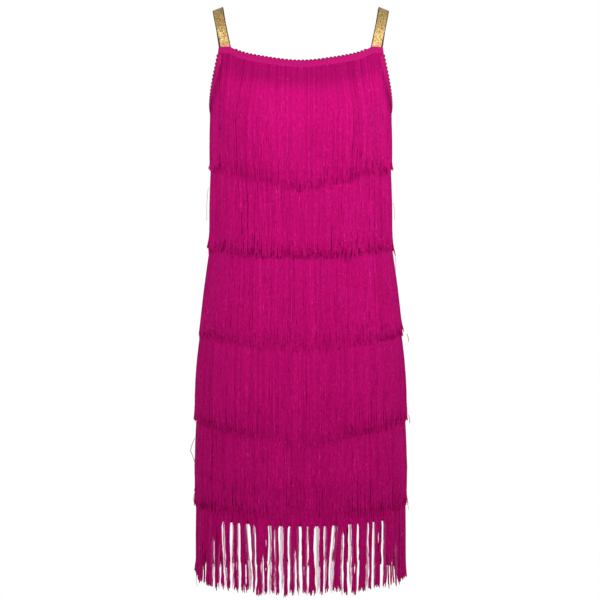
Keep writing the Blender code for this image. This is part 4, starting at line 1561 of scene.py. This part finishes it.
def make_tier(settings, tier, below, seed):
    """A row of fringe that runs right round the dress."""
    angles, run = arc_table(0, 360, tier.root_side)
    length = run[-1]

    def angle_at(distance):
        whole = np.floor(distance / length)
        return np.interp(distance - whole * length, run, angles) + 360 * whole

    def root_of(row, angle):
        middle = np.where(angle % 360 <= 180, row.root_front, row.root_back)
        return mix(row.root_side, middle, dip(angle, row.dip_power))

    def root_at(angle):
        return root_of(tier, angle) + TAPE_HEIGHT * 0.8

    def tip_at(angle):
        return root_of(tier, angle) - tier.length

    def out_at(angle, z, t, depth):
        lie = settings.lie + depth * settings.lock_depth * smooth(t / 0.25)
        ridge = below.ridge * np.exp(-(((z - root_of(below, angle)) / RIDGE_REACH) ** 2)) if below else 0.0
        swing = tier.stand_off * mix(1.0, FRONT_SWING, dip(angle, 1.0))
        return lie + np.maximum(swing * smooth(t / FULL_STAND_OFF), ridge) + tip_flare(angle, t, depth)

    row = Row(angle_at, root_at, tip_at, out_at)
    if below:
        made = make_full_row(
            tier.piece, settings, row, length, UNDER_WIDTH, settings.threads, seed, tier.length
        )
    else:
        made = make_hem_row(tier.piece, settings, row, length, angles, run, seed, tier.length)
    material = fringe_material(settings)
    finish_piece(made, material, "chainette", tier.node)
    round_angles = np.linspace(0, 360, 240, endpoint=False)
    top_of_tape = root_of(tier, round_angles) + TAPE_HEIGHT
    make_tape(tier.piece + "_tape", round_angles, top_of_tape, TAPE_HEIGHT, material, closed=True)


# Threads that have come away from the fringe: where each leaves it and how far it hangs down, in metres, how
# far it leans and bows aside, in millimetres, the half turns it makes, and its width in millimetres, which is
# less where it has split.
Stray = namedtuple("Stray", "x y z length lean bow turns width")
STRAYS = (
    Stray(-0.1510, -0.012, -0.292, 0.055, -2.4, -1.2, 1.0, 0.55),
    Stray(0.1505, -0.012, -0.318, 0.027, 2.6, 1.4, 1.0, 0.55),
    Stray(0.1525, -0.012, -0.398, 0.060, 1.6, 2.4, 1.6, 0.55),
    Stray(-0.1730, -0.012, -0.702, 0.041, 0.4, -7.0, 1.0, 0.9),
    Stray(-0.1725, -0.014, -0.790, 0.014, -3.6, -0.6, 1.0, 0.55),
    Stray(-0.1700, -0.014, -0.926, 0.018, 1.2, -1.0, 1.0, 0.55),
    Stray(0.1735, -0.012, -0.532, 0.013, 2.8, 0.6, 1.0, 0.9),
    Stray(0.1760, -0.012, -0.664, 0.014, 2.0, 0.5, 1.0, 0.9),
    Stray(0.1730, -0.012, -0.806, 0.013, 3.0, 0.5, 1.0, 0.55),
    Stray(-0.0870, -0.112, -0.862, 0.066, 1.0, 4.2, 2.6, 0.9),
    Stray(-0.0700, -0.116, -0.838, 0.103, 5.0, 2.2, 2.2, 0.9),
    Stray(0.0150, -0.121, -0.846, 0.082, -9.0, 3.0, 1.8, 0.9),
    Stray(0.0420, -0.120, -0.870, 0.058, -13.0, -3.6, 1.6, 0.9),
    Stray(0.0985, -0.106, -0.836, 0.090, 3.0, 1.8, 2.4, 0.55),
    Stray(0.1210, -0.092, -0.820, 0.094, -4.0, -2.2, 1.7, 0.9),
    Stray(0.0720, 0.112, -0.850, 0.082, 5.0, 2.6, 1.9, 0.9),
    Stray(-0.0480, 0.118, -0.846, 0.086, -6.0, -3.0, 2.1, 0.9),
    Stray(-0.1130, 0.092, -0.838, 0.080, 3.0, 2.0, 1.6, 0.55),
)
STRAY_POINTS = 24
STRAY_SIDES = 4
STRAY_DOWN = 0.10  # how far down a whole thread these ends come from, in metres


def stray_line(stray):
    t = np.linspace(0, 1, STRAY_POINTS)
    lean, bow = stray.lean * MM, stray.bow * MM
    x = stray.x + lean * t + bow * np.sin(math.pi * stray.turns * t)
    y = stray.y + 0.3 * bow * np.sin(math.pi * stray.turns * t * 0.7)
    z = stray.z - stray.length * t + 0.8 * bow * np.sin(2 * math.pi * stray.turns * t) * t
    return np.stack([x, y, z], -1)


def make_strays(name, strays, material):
    """Single threads as closed tubes."""
    corners = np.arange(STRAY_SIDES)
    turn = FULL_TURN * corners / STRAY_SIDES
    size = STRAY_POINTS * STRAY_SIDES
    points, faces, thread = [], [], []
    for i, stray in enumerate(strays):
        line = stray_line(stray)
        along = unit(np.gradient(line, axis=0))
        aside = unit(np.cross(along, (0.0, 1.0, 0.0)))
        across = np.cross(along, aside)
        ring = np.cos(turn)[:, None] * aside[:, None] + np.sin(turn)[:, None] * across[:, None]
        points.append((line[:, None] + ring * (stray.width * MM) / 2).reshape(-1, 3))
        ends = np.array([corners[::-1], corners + size - STRAY_SIDES]) + i * size
        faces += [grid_faces(STRAY_POINTS, STRAY_SIDES, first=i * size, closed=True), ends]
        down = STRAY_DOWN + np.linspace(0, stray.length, STRAY_POINTS)[:, None]
        thread.append(together(turn / FULL_TURN, down).reshape(-1, 2))
    made = mesh_object(name, np.concatenate(points), np.concatenate(faces))
    set_point_map(made.data, "thread", np.concatenate(thread))
    set_point_values(made.data, "tone", np.repeat(np.linspace(0.2, 0.7, len(strays)), size))
    made.data.shade_smooth()
    return finish_piece(made, material, "chainette")


def make_neck_fringe(settings, piece, start, tip_middle, seed, node):
    """The top row of one panel, whose roots follow the elastic of the armholes and the neckline."""
    angles, run = arc_table(start, start + 180, SECTIONS[5].z)
    length = run[-1]

    def angle_at(distance):
        return np.interp(np.clip(distance, 0.3 * MM, length - 0.3 * MM), run, angles)

    def root_at(angle):
        return top_edge(angle, NECK_TAPE_CLEAR) - NECK_TAPE_DROP

    def tip_at(angle):
        return mix(NECK_TIP_SIDE_Z, tip_middle, dip(angle, NECK_DIP_POWER))

    below = TIERS[0]
    tape_middle = below.root_front if start < 180 else below.root_back

    def out_at(angle, z, t, depth):
        lie = settings.lie + depth * settings.lock_depth * smooth(t / 0.3)
        tape = mix(below.root_side, tape_middle, dip(angle, below.dip_power))
        ridge = below.ridge * np.exp(-(((z - tape) / RIDGE_REACH) ** 2))
        swing = mix(NECK_SIDE_STAND_OFF, NECK_STAND_OFF, dip(angle, 1.0)) * smooth(t / NECK_FULL_STAND_OFF)
        return lie + np.maximum(swing, ridge * dip(angle, 1.0)) + tip_flare(angle, t, depth)

    row = Row(angle_at, root_at, tip_at, out_at)
    count, thread_length = settings.threads // 2, NECK_TIP_SIDE_Z * -0.7
    made = make_full_row(piece, settings, row, length, NECK_UNDER_WIDTH, count, seed, thread_length)
    material = fringe_material(settings)
    finish_piece(made, material, "chainette", node)
    span = np.linspace(start + 1.0, start + 179.0, 181)
    make_tape(piece + "_tape", span, root_at(span), NECK_TAPE_HEIGHT, material, closed=False)
    return made


# ---------------------------------------------------------------- stage
# The camera stands this far in front of the dress, level with HORIZON_Z, and its frame is shifted down.
CAMERA_DISTANCE = 3.0
CAMERA_X = -1.3 * MM
HORIZON_Z = -0.395
FRAME_WIDTH = 0.984  # what the frame takes in at the plane of the side seams
FRAME_DROP = 0.082
SENSOR = 36.0
FLOOR_Z = -1.16
FLOOR_RADIUS = 1.5
FLOOR_SIDES = 96
LIGHT_SIZE = 0.6
LIGHT_AIM = (0.0, 0.0, 0.10)
KEY_PLACE = (0.70, -0.80, 0.10)
FILL_PLACE = (-0.62, -0.92, 0.10)
WHITE = (1.0, 1.0, 1.0, 1.0)


def add_light(name, place, energy):
    light = bpy.data.lights.new(name, "AREA")
    light.shape = "DISK"
    light.size = LIGHT_SIZE
    light.energy = energy
    made = bpy.data.objects.new(name, light)
    made.location = place
    direction = np.array(LIGHT_AIM) - np.array(place)
    made.rotation_euler = Vector(direction).to_track_quat("-Z", "Y").to_euler()
    bpy.context.scene.collection.objects.link(made)


def make_camera(settings):
    camera = bpy.data.cameras.new("camera")
    camera.sensor_width = SENSOR
    camera.lens = SENSOR * settings.camera_distance / FRAME_WIDTH
    camera.shift_y = -FRAME_DROP / FRAME_WIDTH
    camera.clip_start, camera.clip_end = 0.1, 50.0
    made = bpy.data.objects.new("camera", camera)
    made.location = (CAMERA_X, -settings.camera_distance, HORIZON_Z)
    made.rotation_euler = (math.pi / 2, 0.0, 0.0)
    bpy.context.scene.collection.objects.link(made)
    bpy.context.scene.camera = made


def make_world(settings):
    world = bpy.data.worlds.new("studio")
    world.use_nodes = True
    graph = Graph(world.node_tree)
    world.node_tree.nodes.clear()
    seen = graph.add("ShaderNodeBackground", {"Color": WHITE, "Strength": 1.0})
    light = graph.add("ShaderNodeBackground", {"Color": (1.0, 0.99, 0.98, 1.0), "Strength": settings.ambient})
    rays = graph.add("ShaderNodeLightPath").outputs["Is Camera Ray"]
    both = graph.add("ShaderNodeMixShader", {0: rays, 1: light, 2: seen})
    graph.add("ShaderNodeOutputWorld", {"Surface": both})
    bpy.context.scene.world = world


def make_floor():
    angles = np.linspace(0, 2 * math.pi, FLOOR_SIDES, endpoint=False)
    ring = together(np.cos(angles) * FLOOR_RADIUS, np.sin(angles) * FLOOR_RADIUS, FLOOR_Z)
    made = mesh_object("floor", ring, [list(range(FLOOR_SIDES))])
    material, graph, shader = new_material("white_floor")
    grain = graph.noise(graph.place(), 180.0, 3.0)
    dull, clean = rgba((0.80, 0.80, 0.80)), rgba((0.86, 0.86, 0.86))
    graph.fill(shader, "Base Color", graph.mix_color(grain, dull, clean))
    set_sockets(shader, Roughness=0.9)
    seen = graph.add("ShaderNodeEmission", {"Color": WHITE, "Strength": 1.0})
    rays = graph.add("ShaderNodeLightPath").outputs["Is Camera Ray"]
    both = graph.add("ShaderNodeMixShader", {0: rays, 1: shader, 2: seen})
    graph.fill(material.node_tree.nodes["Material Output"], "Surface", both)
    made.data.materials.append(material)


# ---------------------------------------------------------------- settings that a user would change
def as_length(name, description, default):
    return FloatProperty(name=name, description=description, default=default, unit="LENGTH")


def as_number(name, description, default, **more):
    return FloatProperty(name=name, description=description, default=default, **more)


def as_count(name, description, default):
    return IntProperty(name=name, description=description, default=default)


def as_colour(name, description, default):
    return FloatVectorProperty(name=name, description=description, default=default, subtype="COLOR")


class SlipSettings(bpy.types.PropertyGroup):
    """The jersey slip that carries the fringe."""

    thickness: as_length("Thickness", "Of the jersey", 0.9 * MM)
    wale: as_length("Wale", "Width of a column of stitches", 1.3 * MM)
    course: as_length("Course", "Height of a row of stitches", 1.0 * MM)
    color: as_colour("Colour", "Of the jersey", (0.92, 0.008, 0.32))


class ElasticSettings(bpy.types.PropertyGroup):
    """The picot-edged elastic round the neckline and the armholes."""

    thickness: as_length("Thickness", "Of the band", 0.9 * MM)
    crown: as_length("Crown", "How far the band's middle stands out", 0.4 * MM)
    rib: as_length("Rib", "Width of one knitted rib", 4.1 * MM)
    picot_pitch: as_length("Picot pitch", "From scallop to scallop", 6.5 * MM)
    picot_height: as_length("Picot height", "Above the band", 1.9 * MM)
    picot_thickness: as_length("Picot thickness", "Of a scallop", 1.4 * MM)
    color: as_colour("Colour", "Of the elastic", (0.83, 0.006, 0.26))


class StrapSettings(bpy.types.PropertyGroup):
    """The gold shoulder straps."""

    thickness: as_length("Thickness", "Of the elastic", 1.2 * MM)
    flakes_per_metre: as_number("Flakes per metre", "How fine the glitter is", 1500.0)
    edge_share: as_number("Edge", "Share of the width that each plain edge takes", 0.10)
    color: as_colour("Colour", "Of most flakes", (0.55, 0.335, 0.086))
    # painted glints and shade of the flakes: Bright for lit ones, Deep for dark ones
    bright: as_colour("Bright", "Of lit flakes", (1.0, 0.83, 0.42))
    deep: as_colour("Deep", "Of dark flakes", (0.20, 0.09, 0.012))
    # the colour towards which a strap turns near its seat
    seat_tint_color: as_colour("Fluff colour", "Of the fluff at the seats", (0.70, 0.16, 0.20))
    # the plain edges' colour, and the painted shade where a strap turns away from the view
    edge_and_rim_shade_color: as_colour("Edge colour", "Of the edges", (0.045, 0.026, 0.008))


class SewingSettings(bpy.types.PropertyGroup):
    """The stitches."""

    pitch: as_length("Pitch", "From stitch to stitch", 2.6 * MM)
    width: as_length("Width", "Of the thread", 0.45 * MM)
    zigzag: as_length("Zigzag", "Width of a zigzag", 2.2 * MM)
    twist: as_length("Twist", "Length of one twist", 0.6 * MM)
    color: as_colour("Colour", "Of the thread", (0.70, 0.006, 0.24))


class FringeSettings(bpy.types.PropertyGroup):
    """The rows of chainette fringe."""

    threads: as_count("Threads", "In each full row", 1650)
    hem_threads: as_count("Hem threads", "In the lowest row", 1300)
    loose_threads: as_count("Loose threads", "Fine ones in the gaps of the lowest row", 350)
    points: as_count("Points", "Down each thread", 13)
    hem_points: as_count("Hem points", "Down each thread of the lowest row", 18)
    sides: as_count("Sides", "Round each thread", 3)
    thread_width: as_length("Thread width", "Of a thread", 1.9 * MM)
    loose_width: as_length("Loose width", "Of a loose fine thread", 0.40 * MM)
    loop_length: as_length("Loop", "Length of one chain loop", 1.7 * MM)
    lie: as_length("Lie", "Height of a row's roots above the cloth", 0.9 * MM)
    lock_width: as_length("Lock width", "Of an average lock", 4.0 * MM)
    cluster_width: as_length("Cluster width", "Of locks that lean together", 18 * MM)
    cluster_pull: as_number("Cluster pull", "How far locks lean together", 0.03, subtype="FACTOR")
    lock_depth: as_length("Lock depth", "How far locks differ in height", 0.3 * MM)
    ragged: as_length("Ragged", "How far the locks' tips differ", 5 * MM)
    uneven: as_number("Uneven", "Share of the length by which threads differ", 0.09, subtype="FACTOR")
    wander: as_length("Wander", "How far a thread strays sideways", 5.0 * MM)
    drift: as_length("Drift", "How far a few threads lean", 1.8 * MM)
    crinkle: as_length("Crinkle", "How far the tips bend to and fro", 3.6 * MM)
    waves: as_number("Waves", "How often a thread sways", 3.2)
    depth: as_length("Depth", "Thickness of a row's threads", 0.4 * MM)
    hem_depth: as_length("Hem depth", "Thickness of the lowest row's locks", 1.2 * MM)
    under_share: as_number("Under share", "Share of the threads that lie underneath", 0.42, subtype="FACTOR")
    # Bright and Deep bound a thread's tone, which differs at random, and also the painted light and shade
    # along its crinkle
    bright: as_colour("Bright", "Of lit threads", (0.82, 0.006, 0.275))
    deep: as_colour("Deep", "Of deep threads", (0.56, 0.003, 0.165))
    # painted highlight colour of the threads' bends
    glint: as_colour("Glint", "Of lit bends", (1.0, 0.03, 0.40))
    # painted light: fine loose threads are coloured paler, for the light that comes through them
    pale: as_colour("Pale", "Of fine loose threads", (1.0, 0.12, 0.50))


class StageSettings(bpy.types.PropertyGroup):
    """Camera and light."""

    camera_distance: as_length("Camera distance", "In front of the side seams", CAMERA_DISTANCE)
    ambient: as_number("Ambient", "Strength of the light from all round", 0.31)
    key: as_number("Key", "Power of the main light", 7.3, unit="POWER")
    fill: as_number("Fill", "Power of the fill light", 6.0, unit="POWER")


class DressSettings(bpy.types.PropertyGroup):
    """Everything about the dress that a user would change."""

    slip: PointerProperty(type=SlipSettings)
    elastic: PointerProperty(type=ElasticSettings)
    straps: PointerProperty(type=StrapSettings)
    fringe: PointerProperty(type=FringeSettings)
    sewing: PointerProperty(type=SewingSettings)
    stage: PointerProperty(type=StageSettings)


# ---------------------------------------------------------------- operators
class DRESS_OT_stage(bpy.types.Operator):
    """Set up the camera, the lights and the floor"""

    bl_idname = "dress.stage"
    bl_label = "Stage"

    def execute(self, context):
        settings = context.scene.dress.stage
        context.scene.view_settings.view_transform = "Standard"
        make_camera(settings)
        make_world(settings)
        make_floor()
        add_light("key", KEY_PLACE, settings.key)
        add_light("fill", FILL_PLACE, settings.fill)
        return {"FINISHED"}


class DRESS_OT_slip(bpy.types.Operator):
    """Make the two panels of the jersey slip"""

    bl_idname = "dress.slip"
    bl_label = "Slip"

    def execute(self, context):
        settings = context.scene.dress.slip
        make_slip_panel(settings, "slip_front", 0, "body_front")
        make_slip_panel(settings, "slip_back", 180, "body_back")
        return {"FINISHED"}


class DRESS_OT_elastic(bpy.types.Operator):
    """Make the picot-edged elastic of the neckline and the armholes"""

    bl_idname = "dress.elastic"
    bl_label = "Picot elastic"

    def execute(self, context):
        settings = context.scene.dress.elastic
        for side, start in (("front", 0), ("back", 180)):
            make_trim(settings, "neck_elastic_" + side, neck_strip(start), "neck_trim_" + side)
        for side, middle in (("left", 0), ("right", 180)):
            make_trim(settings, "armhole_elastic_" + side, armhole_strip(middle), "armhole_trim_" + side)
        return {"FINISHED"}


class DRESS_OT_straps(bpy.types.Operator):
    """Make the two gold straps"""

    bl_idname = "dress.straps"
    bl_label = "Gold straps"

    def execute(self, context):
        settings = context.scene.dress.straps
        make_strap(settings, "gold_strap_left", 1, "strap_left")
        make_strap(settings, "gold_strap_right", -1, "strap_right")
        return {"FINISHED"}


class DRESS_OT_fringe(bpy.types.Operator):
    """Make every row of fringe"""

    bl_idname = "dress.fringe"
    bl_label = "Fringe"

    def execute(self, context):
        settings = context.scene.dress.fringe
        make_neck_fringe(settings, "fringe_row_1_front", 0, NECK_TIP_FRONT_Z, 11, "fringe_neck_front")
        make_neck_fringe(settings, "fringe_row_1_back", 180, NECK_TIP_BACK_Z, 12, "fringe_neck_back")
        for i, tier in enumerate(TIERS):
            below = TIERS[i + 1] if i + 1 < len(TIERS) else None
            make_tier(settings, tier, below, 20 + i)
        make_strays("stray_threads", STRAYS, fringe_material(settings))
        return {"FINISHED"}


class DRESS_OT_sewing(bpy.types.Operator):
    """Make the stitches of the slip, the elastic and the straps"""

    bl_idname = "dress.sewing"
    bl_label = "Stitches"

    def execute(self, context):
        dress = context.scene.dress
        make_elastic_stitches(dress.sewing, dress.elastic)
        make_slip_stitches(dress.sewing, dress.slip)
        return {"FINISHED"}


class DRESS_PT_pieces(bpy.types.Panel):
    """Buttons for the pieces of the dress"""

    bl_idname = "DRESS_PT_pieces"
    bl_label = "Flapper dress"
    bl_space_type = "VIEW_3D"
    bl_region_type = "UI"
    bl_category = "Dress"

    def draw(self, context):
        for operator in OPERATORS:
            self.layout.operator(operator.bl_idname)
        for group in ("slip", "elastic", "straps", "fringe", "sewing", "stage"):
            box = self.layout.box()
            settings = getattr(context.scene.dress, group)
            for name in settings.bl_rna.properties.keys():
                if name not in {"rna_type", "name"}:
                    box.prop(settings, name)


OPERATORS = (
    DRESS_OT_stage,
    DRESS_OT_slip,
    DRESS_OT_elastic,
    DRESS_OT_straps,
    DRESS_OT_fringe,
    DRESS_OT_sewing,
)
CLASSES = (
    SlipSettings,
    ElasticSettings,
    StrapSettings,
    FringeSettings,
    SewingSettings,
    StageSettings,
    DressSettings,
    *OPERATORS,
    DRESS_PT_pieces,
)


def register():
    for cls in CLASSES:
        bpy.utils.register_class(cls)
    bpy.types.Scene.dress = PointerProperty(type=DressSettings)


def unregister():
    del bpy.types.Scene.dress
    for cls in reversed(CLASSES):
        bpy.utils.unregister_class(cls)


def main():
    register()
    bpy.ops.dress.stage()
    bpy.ops.dress.slip()
    bpy.ops.dress.elastic()
    bpy.ops.dress.straps()
    bpy.ops.dress.fringe()
    bpy.ops.dress.sewing()


if __name__ == "__main__":
    main()
